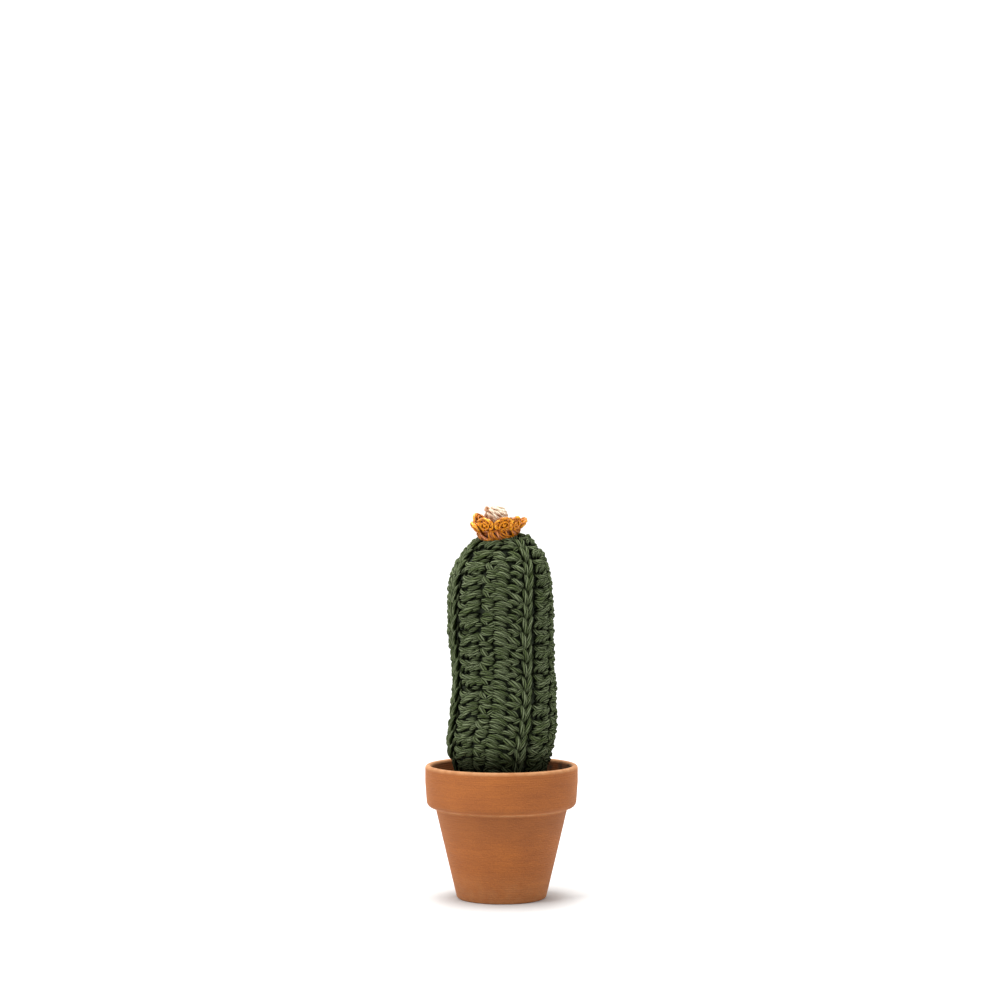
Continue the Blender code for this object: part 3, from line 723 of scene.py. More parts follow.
    section = add_node(tree, "GeometryNodeStoreNamedAttribute", {"Geometry": circle.outputs[0],
                       "Name": "round", "Value": place}, data_type="FLOAT_VECTOR",
                       domain="POINT")
    thickness = add_node(tree, "ShaderNodeMath", {0: radius, 1: given["Thread share"]},
                         operation="MULTIPLY")
    swept = add_node(tree, "GeometryNodeCurveToMesh", {"Curve": wound.outputs[0],
                     "Profile Curve": section.outputs[0], "Scale": thickness.outputs[0],
                     "Fill Caps": True})
    smooth = add_node(tree, "GeometryNodeSetShadeSmooth", {"Geometry": swept.outputs[0]})
    real = add_node(tree, "GeometryNodeRealizeInstances", {"Geometry": smooth.outputs[0]})
    finished = add_node(tree, "GeometryNodeSetMaterial", {"Geometry": real.outputs[0],
                        "Material": given["Finish"]})
    add_node(tree, "NodeGroupOutput", {"Yarn": finished.outputs[0]})
    return tree


yarn_maker = yarn_tree()


def mark_sunk(obj):
    """Stores how far each point lies inside the crests of the stitches, as sunk."""
    count = len(obj.data.vertices)
    points = np.empty(count * 3, dtype=np.float32)
    obj.data.vertices.foreach_get("co", points)
    points = points.reshape(count, 3)
    heights = [row[0] for row in BODY_SWAY]
    sway = np.interp(points[:, 2], heights, [row[1] for row in BODY_SWAY])
    ramp = (points[:, 2] - TOP_SLOPE_START) / (TOP_SLOPE_FULL - TOP_SLOPE_START)
    level = points[:, 2] - TOP_SLOPE * np.clip(ramp, 0.0, 1.0) * points[:, 0]
    places = np.stack([np.hypot(points[:, 0] - sway, points[:, 1]), level], axis=1)
    nearest = np.full(count, 1.0)
    inside = np.zeros(count)
    for start, end in zip(body_curve, body_curve[1:]):
        along = np.array(end - start)
        offset = places - np.array(start)
        share = np.clip(offset @ along / (along @ along), 0.0, 1.0)
        gap = offset - share[:, None] * along
        distance = np.hypot(gap[:, 0], gap[:, 1])
        side = offset[:, 1] * along[0] - offset[:, 0] * along[1]
        closer = distance < nearest
        nearest = np.where(closer, distance, nearest)
        inside = np.where(closer, np.sign(side) * distance, inside)
    obj.data.attributes.new("sunk", "FLOAT", "POINT").data.foreach_set("value", inside)


def make_yarn(name, strands, **inputs):
    """Yarn along the strands, each (points, radii, outwards, number), as one plain mesh."""
    wire = bpy.data.meshes.new(name + "_wire")
    points, radii, ways, numbers, edges = [], [], [], [], []
    for line, thickness, outwards, number in strands:
        edges += [(step, step + 1) for step in range(len(points), len(points) + len(line) - 1)]
        points += [tuple(point) for point in line]
        radii += thickness
        ways += [value for way in outwards for value in way]
        numbers += [number] * len(line)
    wire.from_pydata(points, edges, [])
    wire.attributes.new("yarn_radius", "FLOAT", "POINT").data.foreach_set("value", radii)
    wire.attributes.new("strand", "FLOAT", "POINT").data.foreach_set("value", numbers)
    wire.attributes.new("outwards", "FLOAT_VECTOR", "POINT").data.foreach_set("vector", ways)
    obj = bpy.data.objects.new(name, wire)
    bpy.context.scene.collection.objects.link(obj)
    modifier = obj.modifiers.new("yarn", "NODES")
    modifier.node_group = yarn_maker
    for item in yarn_maker.interface.items_tree:
        key = item.name.replace(" ", "_").lower()
        if item.in_out == "INPUT" and key in inputs:
            modifier[item.identifier] = inputs[key]
    return apply_nodes(obj)


def apply_nodes(obj):
    """Turns what the object's modifiers make into its own plain mesh."""
    bpy.context.view_layer.update()
    graph = bpy.context.evaluated_depsgraph_get()
    mesh = bpy.data.meshes.new_from_object(obj.evaluated_get(graph))
    obj.modifiers.clear()
    obj.data = mesh
    return obj


def draw_strand(knots, ways, steps, radius, number):
    """A strand through the knots, plump in its middle and thin where it dives."""
    before = knots[0] * 2.0 - knots[1]
    after = knots[-1] * 2.0 - knots[-2]
    per_span = max(2, round(steps / (len(knots) - 1)))
    line = smooth_line([before, *knots, after], per_span)
    last = len(line) - 1
    radii = []
    outwards = []
    for index in range(len(line)):
        radii.append(radius * (0.24 + 0.76 * math.sin(math.pi * index / last) ** 0.65))
        at, share = divmod(index / per_span, 1.0)
        way = ways[min(int(at), len(ways) - 1)].lerp(ways[min(int(at) + 1, len(ways) - 1)], share)
        outwards.append(way.normalized())
    return line, radii, outwards, number


def panel_strands(panel, draw):
    """All strands between one ridge and the next, as two lists: in sight and in the pot."""
    chains = (*CHAIN_ANGLES_DEG, CHAIN_ANGLES_DEG[0] + 360.0)
    start, end = chains[panel], chains[panel + 1]
    stitches = round(BODY_LENGTH / STITCH_HEIGHT)
    stitch = BODY_LENGTH / stitches
    seen, hidden = [], []
    for row in range(stitches):
        radius, height = body_section((row + 0.5) * stitch, 0.0)
        around = 2.0 * math.pi * radius / COLUMN_WIDTH
        across = min(6, max(1, round(around / len(CHAIN_ANGLES_DEG))))
        in_sight = height > HIDDEN_BELOW
        at = -0.5
        for motif in MOTIFS_ACROSS[across]:
            width, ways_to_fall = CROCHET_MOTIFS[motif]
            shapes = draw.choice(ways_to_fall)
            shift_u = at + draw.uniform(-0.07, 0.07)
            shift_v = draw.uniform(-0.06, 0.06)
            for thickness, knots in shapes:
                line = []
                ways = []
                lean = draw.uniform(-0.10, 0.10)
                lift = draw.uniform(-0.0005, 0.0005)
                slide = draw.uniform(-0.10, 0.10) if motif != "chain" else 0.0
                middle = knots[len(knots) // 2][0]
                for u, v, out in knots:
                    v += shift_v + lean * (u - middle) + draw.uniform(-0.04, 0.04)
                    u += shift_u + slide + draw.uniform(-0.04, 0.04)
                    run = (row + 0.5 + v) * stitch
                    depth = CREST_DEPTH + lift - out * (OUT_UNIT if out > 0.0 else DIVE_UNIT)
                    _, height = body_section(run, 0.0)
                    twist = TWIST_DEG_PER_M * (height - CHAIN_LEVEL)
                    angle = math.radians(start + (end - start) * u / across + twist)
                    line.append(body_place(run, angle, depth))
                    outer = body_place(run, angle, depth - 0.001)
                    ways.append((outer - line[-1]).normalized())
                steps = STRAND_STEPS if in_sight else HIDDEN_STRAND_STEPS
                size = YARN_RADIUS * thickness * draw.uniform(0.88, 1.12)
                strand = draw_strand(line, ways, steps, size, draw.random())
                (seen if in_sight else hidden).append(strand)
            at += width
    return seen, hidden


def cotton_material(name, light, mid, dark, deep):
    """Cotton yarn of several loosely wound threads: matt and dry, and each thread is a little
    different. Its colour carries painted shade: darker towards each stitch's edges where it
    meets the next, in the grooves between the plies, deeper inside the fabric, and low down by
    the rim of the pot."""
    material, tree, shader = start_material(name)
    place = add_node(tree, "ShaderNodeTexCoord").outputs["Object"]
    facing = add_node(tree, "ShaderNodeAttribute", attribute_name="facing").outputs["Fac"]
    thread = add_node(tree, "ShaderNodeAttribute", attribute_name="thread").outputs["Fac"]
    sunk = add_node(tree, "ShaderNodeAttribute", attribute_name="sunk").outputs["Fac"]
    fibre = add_node(tree, "ShaderNodeTexNoise", {"Vector": place, "Scale": 1300.0,
                     "Detail": 3.0})
    patch = add_node(tree, "ShaderNodeTexNoise", {"Vector": place, "Scale": 60.0})
    own = add_node(tree, "ShaderNodeMath", {0: thread, 1: 0.5, 2: -0.25},
                   operation="MULTIPLY_ADD")
    patchy_blend = add_node(tree, "ShaderNodeMath", {0: patch.outputs["Fac"], 1: 0.5,
                    2: own.outputs[0]}, operation="MULTIPLY_ADD")
    mottle = add_node(tree, "ShaderNodeMath", {0: fibre.outputs["Fac"], 1: 0.5,
                      2: patchy_blend.outputs[0]}, operation="MULTIPLY_ADD")
    body = add_node(tree, "ShaderNodeMix", {0: mottle.outputs[0]}, data_type="RGBA")
    body.inputs["A"].default_value = srgb(mid)
    body.inputs["B"].default_value = srgb(light)
    outwards = add_node(tree, "ShaderNodeAttribute", attribute_name="outwards").outputs["Vector"]
    normal = add_node(tree, "ShaderNodeNewGeometry").outputs["Normal"]
    turned = add_node(tree, "ShaderNodeVectorMath", {0: normal, 1: outwards},
                      operation="DOT_PRODUCT").outputs["Value"]
    centre = add_node(tree, "ShaderNodeMath", {0: facing, 1: THREAD_SPREAD}, operation="MULTIPLY")
    crest = add_node(tree, "ShaderNodeMath", {0: turned, 1: THREAD_SHARE, 2: centre.outputs[0]},
                     operation="MULTIPLY_ADD")
    # Painted shade: darker towards each stitch's edges, where it meets the next.
    side = add_node(tree, "ShaderNodeMapRange", {"Value": crest.outputs[0],
                    "From Min": EDGE_SHADE_FROM, "From Max": EDGE_SHADE_TO},
                    interpolation_type="SMOOTHSTEP")
    ring = add_node(tree, "ShaderNodeAttribute", attribute_name="round").outputs["Vector"]
    along = add_node(tree, "ShaderNodeAttribute", attribute_name="along").outputs["Fac"]
    split = add_node(tree, "ShaderNodeSeparateXYZ", {0: ring}).outputs
    angle = add_node(tree, "ShaderNodeMath", {0: split["Y"], 1: split["X"]},
                     operation="ARCTAN2")
    slip = add_node(tree, "ShaderNodeMath", {0: along, 1: 2.0 * math.pi * PLY_TURNS_PER_M,
                    2: add_node(tree, "ShaderNodeMath", {0: fibre.outputs["Fac"], 1: 2.0},
                                operation="MULTIPLY").outputs[0]}, operation="MULTIPLY_ADD")
    phase = add_node(tree, "ShaderNodeMath", {0: angle.outputs[0], 1: float(THREAD_PLIES),
                     2: slip.outputs[0]}, operation="MULTIPLY_ADD")
    wave = add_node(tree, "ShaderNodeMath", {0: phase.outputs[0]}, operation="COSINE")
    # Painted shade in the grooves between the plies.
    groove = add_node(tree, "ShaderNodeMapRange", {"Value": wave.outputs[0],
                      "From Min": -0.1, "From Max": 0.8, "To Max": 0.75})
    darker = add_node(tree, "ShaderNodeMath", {0: groove.outputs["Result"],
                      1: side.outputs["Result"]}, operation="MAXIMUM")
    colour = add_node(tree, "ShaderNodeMix", {0: darker.outputs[0],
                      "A": body.outputs["Result"]}, data_type="RGBA")
    colour.inputs["B"].default_value = srgb(dark)
    shade = add_node(tree, "ShaderNodeMapRange", {"Value": sunk, "From Min": SHADE_FROM,
                     "From Max": SHADE_TO}, interpolation_type="SMOOTHSTEP")
    height = add_node(tree, "ShaderNodeSeparateXYZ", {0: place}).outputs["Z"]
    # Painted shade low down by the pot's rim.
    painted_lighting_band = add_node(tree, "ShaderNodeMapRange", {"Value": height, "From Min": RIM_SHADE_FROM,
                      "From Max": RIM_SHADE_TO, "To Max": 0.75}, interpolation_type="SMOOTHSTEP")
    depth = add_node(tree, "ShaderNodeMath", {0: shade.outputs["Result"],
                     1: painted_lighting_band.outputs["Result"]}, operation="MAXIMUM")
    shaded = add_node(tree, "ShaderNodeMix", {0: depth.outputs[0],
                      "A": colour.outputs["Result"]}, data_type="RGBA")
    shaded.inputs["B"].default_value = srgb(deep)
    relief = add_node(tree, "ShaderNodeMath", {0: wave.outputs[0], 1: -0.6,
                      2: fibre.outputs["Fac"]}, operation="MULTIPLY_ADD")
    bump = add_node(tree, "ShaderNodeBump", {"Height": relief.outputs[0],
                    "Distance": 0.0003, "Strength": 0.9})
    tree.links.new(shaded.outputs["Result"], shader.inputs["Base Color"])
    tree.links.new(bump.outputs["Normal"], shader.inputs["Normal"])
    shader.inputs["Roughness"].default_value = 0.9
    shader.inputs["Specular IOR Level"].default_value = 0.05
    return material


green_cotton = cotton_material("green_cotton_yarn", "818A6C", "364614", "151E07", "0A0F04")
for panel in range(len(CHAIN_ANGLES_DEG)):
    draw = random.Random(31 + panel)
    seen, hidden = panel_strands(panel, draw)
    given = {"thread_share": THREAD_SHARE, "spread": THREAD_SPREAD, "seed": float(panel),
             "turns_per_metre": YARN_TURNS_PER_M, "flatness": YARN_FLATNESS,
             "waviness": THREAD_WAVINESS, "finish": green_cotton}
    stitches = make_yarn("crochet_panel_%d" % (panel + 1), seen, threads=YARN_THREADS,
                         thread_sides=4, **given)
    foot = make_yarn("crochet_foot_%d" % (panel + 1), hidden, threads=3, thread_sides=3,
                     **given)
    for piece in (stitches, foot):
        mark_sunk(piece)
        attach(piece, "root")
        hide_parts("cover")
        print(piece.name, sum(len(f.vertices) - 2 for f in piece.data.polygons))


def shaded_ground_material():
    """The inner loops of the same cotton, packed tight behind the outer ones, their colour painted very
    dark as painted shade.
    """
    material, tree, shader = start_material("green_cotton_inner_loops")
    place = add_node(tree, "ShaderNodeTexCoord").outputs["Object"]
    loops = add_node(tree, "ShaderNodeTexNoise", {"Vector": place, "Scale": 330.0,
                     "Detail": 3.0, "Distortion": 1.5})
    tint = add_node(tree, "ShaderNodeMix", {0: loops.outputs["Fac"]}, data_type="RGBA")
    tint.inputs["A"].default_value = srgb("0C1107")
    tint.inputs["B"].default_value = srgb("27321A")
    bump = add_node(tree, "ShaderNodeBump", {"Height": loops.outputs["Fac"],
                    "Distance": 0.0012})
    tree.links.new(tint.outputs["Result"], shader.inputs["Base Color"])
    tree.links.new(bump.outputs["Normal"], shader.inputs["Normal"])
    shader.inputs["Roughness"].default_value = 0.95
    return material


inner_loops = body_skin("inner_loops", GROUND_DEPTH, 144, 190, 0.0012, 0.0035, shaded_ground_material())
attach(inner_loops, "root")
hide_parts("cover")

# Flower petals: small scallops of thin shiny mustard thread, each crocheted round a ring of its
# own, joined to a round base that is sewn to the dome. The front ones stand up, and the ones at
# the sides droop.
FLOWER_PLACE = (-0.0018, -0.0070, 0.2609)
FLOWER_LEAN_LEFT_DEG = 4.0
FLOWER_LEAN_FRONT_DEG = 7.0
FLOWER_BASE_RADIUS = 0.0150
FLOWER_BASE_TOP = 0.0046
PETALS = (
    (-37.0, 68.0, 0.0046),
    (15.0, 68.0, 0.0044),
    (55.0, 70.0, 0.0034),
    (105.0, 40.0, 0.0034),
    (150.0, 52.0, 0.0012),
    (195.0, 62.0, 0.0036),
    (240.0, 60.0, 0.0060),
    (281.0, 50.0, 0.0028),
)
PETAL_ROOT_RADIUS = 0.0125
PETAL_LENGTH = 0.0112
PETAL_WIDTH = 0.0146
PETAL_THICKNESS = 0.0028
PETAL_RING_SHARE = 0.48
PETAL_STITCHES = 12
MIDDLE_STITCHES = 4
RIM_THREAD_RADIUS = 0.00135
RING_THREAD_RADIUS = 0.00095
STITCH_THREAD_RADIUS = 0.00080
BASE_STITCHES = 34
BASE_LEAN = 0.50


def flower_frame():
    lean = Matrix.Rotation(math.radians(FLOWER_LEAN_FRONT_DEG), 4, "X")
    lean = Matrix.Rotation(math.radians(-FLOWER_LEAN_LEFT_DEG), 4, "Y") @ lean
    return Matrix.Translation(FLOWER_PLACE) @ lean


def petal_frame(angle_deg, rise_deg, root_height):
    """From a petal's own frame (X along it, Y across, Z its inner face) to the world."""
    out = Matrix.Rotation(math.radians(angle_deg - 90.0), 4, "Z")
    root = Matrix.Translation((PETAL_ROOT_RADIUS, 0.0, root_height))
    return flower_frame() @ out @ root @ Matrix.Rotation(math.radians(-rise_deg), 4, "Y")


def thread_line(points, radius, draw, way, frame=Matrix.Identity(4)):
    """A thread through the points, closed if its last point is its first again. The way is a
    direction that the thread's outer side faces, or a middle that it faces away from."""
    knots = [frame @ Vector(point) for point in points]
    ghosts = (knots[0] * 2.0 - knots[1], knots[-1] * 2.0 - knots[-2])
    if (knots[0] - knots[-1]).length < 0.00001:
        ghosts = (knots[-2], knots[1])
    line = smooth_line([ghosts[0], *knots, ghosts[1]], 2)
    size = radius * draw.uniform(0.92, 1.10)
    middle, face = way
    outwards = [(point - middle).normalized() if middle else face for point in line]
    return line, [size] * len(line), outwards, draw.random()


def petal_ring(share, height, wobble, count, draw):
    """Points once round a petal, at a share of the way from its middle to its edge."""
    points = []
    for step in range(count):
        turn = 2.0 * math.pi * step / count
        reach = share * (1.0 + draw.uniform(-wobble, wobble))
        points.append((PETAL_LENGTH / 2.0 * (1.0 + reach * math.cos(turn)),
                       PETAL_WIDTH / 2.0 * reach * math.sin(turn), height))
    return points + points[:1]


def petal_rim(frame, draw):
    """The thick cord round a petal, with a painted highlight on its side that faces out and up."""
    rim_share = 1.0 - 2.0 * RIM_THREAD_RADIUS / PETAL_WIDTH
    way = (None, frame.to_3x3() @ Vector((0.7, 0.0, -0.7)))
    return thread_line(petal_ring(rim_share, 0.0, 0.02, 14, draw), RIM_THREAD_RADIUS, draw, way,
                       frame)


def petal_threads(frame, draw):
    """Each face of a petal: a ring, stitches from it to the edge, and a few across its middle."""
    threads = []
    for face in (-1.0, 1.0):
        lift = face * PETAL_THICKNESS / 2.0
        way = (None, frame.to_3x3() @ Vector((0.0, 0.0, face)))
        ring = petal_ring(PETAL_RING_SHARE, lift * 1.1, 0.08, 9, draw)
        threads.append(thread_line(ring, RING_THREAD_RADIUS, draw, way, frame))
        rows = [(turn, 0.55, 0.86, 0.8) for turn in range(PETAL_STITCHES)]
        rows += [(turn * 2.7, -0.24, 0.24, 1.2) for turn in range(MIDDLE_STITCHES)]
        for turn, near, far, rise in rows:
            start = 2.0 * math.pi * (turn + draw.uniform(-0.3, 0.3)) / PETAL_STITCHES
            slant = face * draw.uniform(0.0, 0.3)
            points = []
            for share, height in ((0.0, 0.4), (0.33, 1.0), (0.67, 1.0), (1.0, 0.3)):
                reach = near + (far - near) * share
                angle = start + slant * share
                points.append((PETAL_LENGTH / 2.0 * (1.0 + reach * math.cos(angle)),
                               PETAL_WIDTH / 2.0 * reach * math.sin(angle),
                               lift * rise * height))
            threads.append(thread_line(points, STITCH_THREAD_RADIUS, draw, way, frame))
    return threads


def dome_height(x, y):
    """Height of the cactus's crests under a place on the dome."""
    radius = math.hypot(x - BODY_SWAY[-1][1], y)
    for inner, outer in zip(reversed(body_curve), reversed(body_curve[:-1])):
        if outer.x >= radius:
            share = (radius - inner.x) / max(outer.x - inner.x, 0.000001)
            return inner.y + (outer.y - inner.y) * share + TOP_SLOPE * x
    return body_curve[-1].y


def base_place(turn, reach_share, climb):
    """A place on the base: climb from 0 on the dome to 1 at the petals' roots."""
    reach = FLOWER_BASE_RADIUS * reach_share
    top = flower_frame() @ Vector((reach * math.sin(turn), -reach * math.cos(turn),
                                   FLOWER_BASE_TOP))
    low = dome_height(top.x, top.y) - 0.0006
    return Vector((top.x, top.y, low + (top.z - low) * climb))


def base_threads(draw):
    """Slanting stitches round the base, from the dome up to the petals' roots."""
    threads = []
    middle = (flower_frame() @ Vector((0.0, 0.0, 0.0)), None)
    for stitch in range(BASE_STITCHES):
        start = 2.0 * math.pi * (stitch + draw.uniform(-0.3, 0.3)) / BASE_STITCHES
        lean = BASE_LEAN * draw.uniform(0.3, 1.5)
        points = []
        for climb, swell in ((0.0, 0.84), (0.25, 0.93), (0.60, 1.0), (0.90, 0.98), (1.1, 0.88)):
            points.append(base_place(start - lean * climb, swell, climb))
        threads.append(thread_line(points, RING_THREAD_RADIUS * 1.1, draw, middle))
    for climb, swell in ((0.10, 0.86), (1.05, 0.90)):
        points = []
        for step in range(20):
            points.append(base_place(2.0 * math.pi * step / 20, swell * draw.uniform(0.98, 1.02),
                                     climb))
        threads.append(thread_line(points + points[:1], RIM_THREAD_RADIUS, draw, middle))
    return threads


def shiny_thread_material(name, light, mid, dark):
    """Mercerised cotton thread of three plies: smooth and glossy, almost like silk. A painted
    highlight runs along each stitch's crest, and painted shade, deep golden brown, lies beside it."""
    material, tree, shader = start_material(name)
    place = add_node(tree, "ShaderNodeTexCoord").outputs["Object"]
    thread = add_node(tree, "ShaderNodeAttribute", attribute_name="thread").outputs["Fac"]
    facing = add_node(tree, "ShaderNodeAttribute", attribute_name="facing").outputs["Fac"]
    patch = add_node(tree, "ShaderNodeTexNoise", {"Vector": place, "Scale": 350.0,
                     "Detail": 2.0})
    blend = add_node(tree, "ShaderNodeMath", {0: thread, 1: 0.3, 2: patch.outputs["Fac"]},
                     operation="MULTIPLY_ADD")
    # Facing out gives the painted highlight and facing away the painted shade, mixed with random tone.
    crest = add_node(tree, "ShaderNodeMath", {0: facing, 1: 0.28, 2: blend.outputs[0]},
                     operation="MULTIPLY_ADD")
    ramp = add_node(tree, "ShaderNodeValToRGB", {0: crest.outputs[0]})
    elements = ramp.color_ramp.elements
    elements.new(0.62)
    for element, at, code in zip(elements, (0.38, 0.64, 0.98), (dark, mid, light)):
        element.position = at
        element.color = srgb(code)
    fibre = add_node(tree, "ShaderNodeTexNoise", {"Vector": place, "Scale": 2500.0})
    bump = add_node(tree, "ShaderNodeBump", {"Height": fibre.outputs["Fac"],
                    "Distance": 0.0001, "Strength": 0.5})
    tree.links.new(ramp.outputs["Color"], shader.inputs["Base Color"])
    tree.links.new(bump.outputs["Normal"], shader.inputs["Normal"])
    shader.inputs["Roughness"].default_value = 0.30
    shader.inputs["Specular IOR Level"].default_value = 0.25
    shader.inputs["Coat Weight"].default_value = 0.25
    shader.inputs["Coat Roughness"].default_value = 0.10
    return material


def lens(points, faces, frame, middle, size, sides=20):
    """Adds a closed thin lens, which fills a petal between the threads of its faces."""
    first = len(points)
    for share, height in ((0.55, -0.5), (0.85, -0.3), (0.85, 0.3), (0.55, 0.5)):
        for side in range(sides):
            turn = 2.0 * math.pi * side / sides
            points.append(frame @ Vector((middle + size[0] * share * math.cos(turn),
                                          size[1] * share * math.sin(turn), size[2] * height)))
    for ring in range(3):
        for side in range(sides):
            beside = (side + 1) % sides
            low, high = first + ring * sides, first + (ring + 1) * sides
            faces.append((low + side, low + beside, high + beside, high + side))
    faces.append(tuple(range(first + sides - 1, first - 1, -1)))
    faces.append(tuple(range(first + 3 * sides, first + 4 * sides)))


def flower_padding(material):
    """What lies under the threads: a lens in each petal, and the base's drum."""
    points, faces = [], []
    for petal in PETALS:
        lens(points, faces, petal_frame(*petal), PETAL_LENGTH / 2.0, (PETAL_LENGTH / 2.0, PETAL_WIDTH / 2.0, PETAL_THICKNESS * 0.5))
    sides = 40
    first = len(points)
    rings = ((0.78, 0.02), (0.86, 0.30), (0.92, 0.70), (0.84, 1.0))
    for reach, climb in rings:
        for side in range(sides):
            points.append(base_place(2.0 * math.pi * side / sides, reach, climb))
    for ring in range(len(rings) - 1):
        for side in range(sides):
            beside = (side + 1) % sides
            low, high = first + ring * sides, first + (ring + 1) * sides
            faces.append((low + side, low + beside, high + beside, high + side))
    faces.append(tuple(range(first + sides - 1, first - 1, -1)))
    faces.append(tuple(range(len(points) - sides, len(points))))
    return mesh_object("flower_padding", points, faces, material)


gold_thread = shiny_thread_material("mercerised_mustard_thread", "E89208", "AA5800", "461C00")
# The rim's thread is a copy of the gold thread with a painted highlight.
rim_thread = shiny_thread_material("mercerised_mustard_rim_thread", "FFB82C", "BE6C04", "5E2A00")
# The base's thread is a copy of the gold thread with painted shade; the padding takes it too.
base_thread = shiny_thread_material("mercerised_amber_thread", "C4760A", "874200", "301200")
# This copy of the gold thread is tinted pink as a painted reflection on some of the base's stitches.
reflection_thread = shiny_thread_material("mercerised_rose_gold_thread", "CC8254", "945024", "50240C")
draw = random.Random(77)
petal_strands = []
rim_strands = []
for petal in PETALS:
    rim_strands.append(petal_rim(petal_frame(*petal), draw))
    petal_strands += petal_threads(petal_frame(*petal), draw)
base_strands = base_threads(draw)
reflection_strands = base_strands[1:BASE_STITCHES:5]
del base_strands[1:BASE_STITCHES:5]
rope = {"threads": 3, "thread_sides": 5, "thread_share": 0.52, "spread": 0.52,
        "flatness": 0.0, "waviness": 0.0003, "seed": 5.0, "turns_per_metre": 90.0}
cord = {**rope, "thread_share": 0.62, "spread": 0.40, "turns_per_metre": 60.0}
flower_pieces = [
    make_yarn("petal_rims", rim_strands, finish=rim_thread, **cord),
    make_yarn("petal_threads", petal_strands, finish=gold_thread, **rope),
    make_yarn("base_threads", base_strands, finish=base_thread, **rope),
    make_yarn("base_rosy_threads", reflection_strands, finish=reflection_thread, **rope),
    flower_padding(base_thread),
]
for piece in flower_pieces:
    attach(piece, "root")
    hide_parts("flower_petals")
    print(piece.name, sum(len(f.vertices) - 2 for f in piece.data.polygons))

# Flower centre: a small bobble wound of soft cream thread, whose turns sweep round it from the
# lower right to the upper left. The end of the thread is knotted beside its top.
CENTRE_SHIFT = -0.0012
CENTRE_RADIUS = 0.0080
CENTRE_HEIGHT = 0.0170
CENTRE_THREAD_RADIUS = 0.00100
CENTRE_STITCHES = 70
CENTRE_SWEEP = 0.9
GOLDEN_TURN = math.pi * (3.0 - math.sqrt(5.0))
KNOT_PLACE = (-0.0070, -0.0024, 0.0196)
KNOT_RADIUS = 0.0027
KNOT_THREAD_RADIUS = 0.0009
# Painted light on the bobble: paler up and to the right, with painted shade to the lower left.
CENTRE_LIGHT_WAY = (0.55, 0.0, 0.83)
CENTRE_LIGHT_STEP = 50.0
CENTRE_LIGHT_SHIFT = 0.45


def centre_point(turn, climb, reach):
    """A place on the bobble: turn round it, climb from 0 at its foot to 1 at its top."""
    swing = math.pi * climb
    radius = CENTRE_RADIUS * math.sin(swing) * reach
    height = CENTRE_HEIGHT / 2.0 * (1.0 - math.cos(swing) * reach)
    return flower_frame() @ Vector((CENTRE_SHIFT + radius * math.sin(turn),
                                    -radius * math.cos(turn), FLOWER_BASE_TOP + height))


def centre_threads(draw):
    """Slanting stitches all over the bobble, each running down to the right."""
    threads = []
    middle = centre_point(0.0, 0.5, 0.0)
    for index in range(CENTRE_STITCHES):
        climb = math.acos(1.0 - 1.9 * (index + 0.5) / CENTRE_STITCHES) / math.pi
        start = GOLDEN_TURN * index + draw.uniform(-0.2, 0.2)
        rise = draw.uniform(0.20, 0.30)
        sweep = CENTRE_SWEEP * draw.uniform(0.7, 1.3) / max(math.sin(math.pi * climb), 0.5)
        knots = []
        for share, out in ((0.0, 0.86), (0.25, 0.96), (0.5, 1.0), (0.75, 0.96), (1.0, 0.86)):
            at = min(climb + rise * (share - 0.5), 0.99)
            knots.append(centre_point(start - sweep * (share - 0.5), at, out))
        ways = [(knot - middle).normalized() for knot in knots]
        size = CENTRE_THREAD_RADIUS * draw.uniform(0.85, 1.2)
        threads.append(draw_strand(knots, ways, 8, size, draw.random()))
    return threads


def knot_threads(draw):
    """Three loops round each other, pulled tight."""
    threads = []
    middle = Vector(KNOT_PLACE)
    for tip, turn in ((0.2, 0.0), (1.2, 1.0), (1.4, 2.4)):
        tilt = Matrix.Rotation(turn, 3, "Z") @ Matrix.Rotation(tip, 3, "X")
        points = []
        for step in range(8):
            angle = 2.0 * math.pi * step / 8
            loop = Vector((math.cos(angle), math.sin(angle), 0.0)) * KNOT_RADIUS * 0.62
            points.append(middle + tilt @ loop)
        threads.append(thread_line(points + points[:1], KNOT_THREAD_RADIUS, draw,
                                   (flower_frame() @ middle, None), flower_frame()))
    return threads


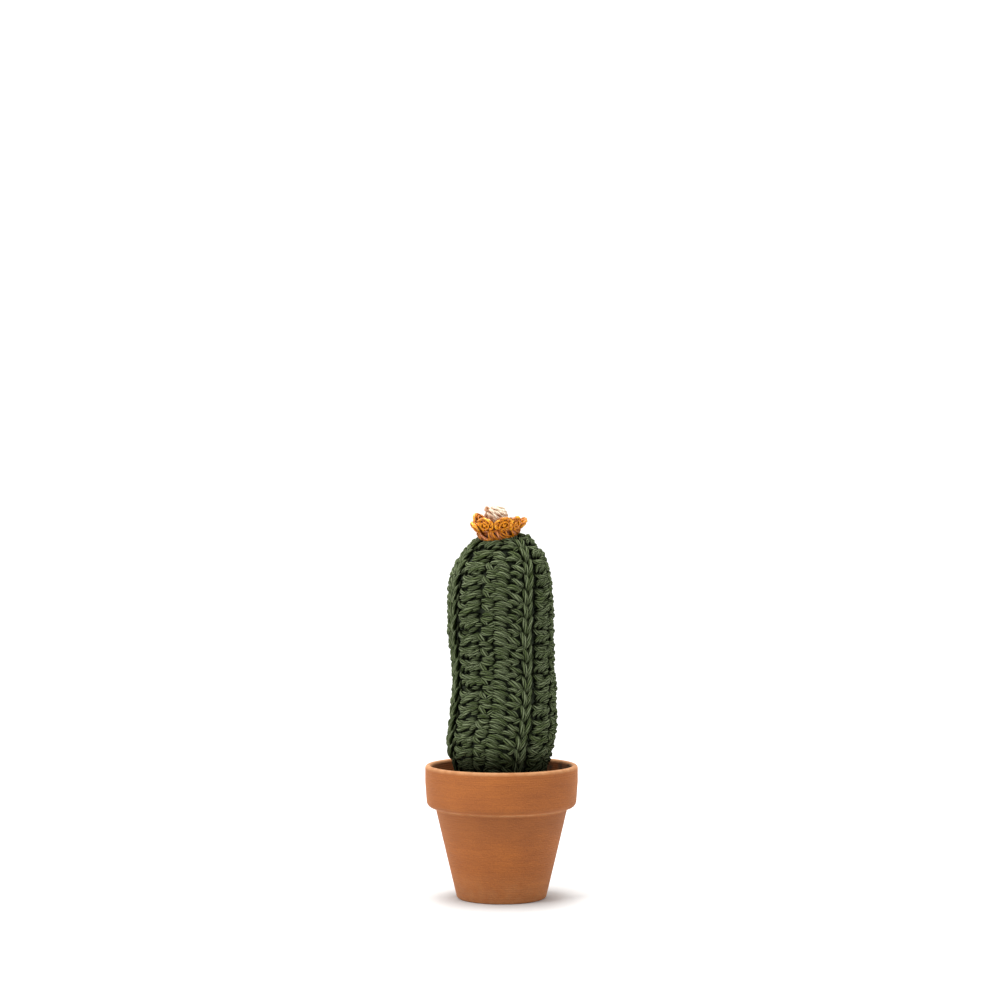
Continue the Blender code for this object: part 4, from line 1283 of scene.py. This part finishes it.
def cream_material(name, light, dark):
    """Soft brushed cotton thread with a short nap. Cream as painted light up and to the right and
    where a thread faces out; dusky pink as painted shade to the lower left and between its turns."""
    material, tree, shader = start_material(name)
    place = add_node(tree, "ShaderNodeTexCoord").outputs["Object"]
    thread = add_node(tree, "ShaderNodeAttribute", attribute_name="thread").outputs["Fac"]
    patch = add_node(tree, "ShaderNodeTexNoise", {"Vector": place, "Scale": 260.0, "Detail": 2.0})
    facing = add_node(tree, "ShaderNodeAttribute", attribute_name="facing").outputs["Fac"]
    up = add_node(tree, "ShaderNodeVectorMath", {0: place, 1: FLOWER_PLACE},
                  operation="SUBTRACT").outputs[0]
    # Painted light: paler towards the upper right, and painted shade towards the lower left.
    high = add_node(tree, "ShaderNodeVectorMath", {0: up, 1: CENTRE_LIGHT_WAY},
                    operation="DOT_PRODUCT").outputs["Value"]
    painted_light_slope = add_node(tree, "ShaderNodeMath", {0: high, 1: CENTRE_LIGHT_STEP, 2: -CENTRE_LIGHT_SHIFT},
                    operation="MULTIPLY_ADD")
    lit = add_node(tree, "ShaderNodeMath", {0: facing, 1: 0.2, 2: painted_light_slope.outputs[0]},
                   operation="MULTIPLY_ADD")
    own = add_node(tree, "ShaderNodeMath", {0: thread, 1: 0.3, 2: lit.outputs[0]},
                   operation="MULTIPLY_ADD")
    blend = add_node(tree, "ShaderNodeMath", {0: patch.outputs["Fac"], 1: 0.6,
                     2: own.outputs[0]}, operation="MULTIPLY_ADD")
    shade = add_node(tree, "ShaderNodeMapRange", {"Value": blend.outputs[0], "From Min": 0.35,
                     "From Max": 0.85})
    tint = add_node(tree, "ShaderNodeMix", {0: shade.outputs["Result"]}, data_type="RGBA")
    tint.inputs["A"].default_value = srgb(dark)
    tint.inputs["B"].default_value = srgb(light)
    nap = add_node(tree, "ShaderNodeTexNoise", {"Vector": place, "Scale": 2200.0})
    bump = add_node(tree, "ShaderNodeBump", {"Height": nap.outputs["Fac"], "Distance": 0.0002})
    tree.links.new(tint.outputs["Result"], shader.inputs["Base Color"])
    tree.links.new(bump.outputs["Normal"], shader.inputs["Normal"])
    shader.inputs["Roughness"].default_value = 0.75
    return material


cream_thread = cream_material("brushed_cream_thread", "EADCC6", "AC7650")
# The knot's thread is a darker copy of the cream thread, as painted shade.
knot_thread = cream_material("brushed_tan_thread", "D0A27E", "A0643C")
soft = {"threads": 5, "thread_sides": 5, "thread_share": 0.42, "spread": 0.62,
        "turns_per_metre": 60.0, "flatness": 0.0, "waviness": 0.0007, "seed": 8.0}
ball = bmesh.new()
bmesh.ops.create_icosphere(ball, subdivisions=4, radius=1.0)
for vert in ball.verts:
    inner = 1.0 - 1.1 * CENTRE_THREAD_RADIUS / CENTRE_RADIUS
    level = FLOWER_BASE_TOP + CENTRE_HEIGHT / 2.0 * (1.0 + vert.co.z * inner)
    vert.co = flower_frame() @ Vector((CENTRE_SHIFT + vert.co.x * CENTRE_RADIUS * inner,
                                       vert.co.y * CENTRE_RADIUS * inner, level))
ball_mesh = bpy.data.meshes.new("bobble_core")
ball.to_mesh(ball_mesh)
ball.free()
ball_mesh.materials.append(cream_thread)
ball_mesh.shade_smooth()
bobble_core = bpy.data.objects.new("bobble_core", ball_mesh)
bpy.context.scene.collection.objects.link(bobble_core)
bobble_pieces = [
    make_yarn("bobble_threads", centre_threads(random.Random(9)), finish=cream_thread, **soft),
    make_yarn("bobble_knot", knot_threads(random.Random(4)), finish=knot_thread, **soft),
    bobble_core,
]
for piece in bobble_pieces:
    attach(piece, "root")
    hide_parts("flower_centre")
    print(piece.name, sum(len(f.vertices) - 2 for f in piece.data.polygons))
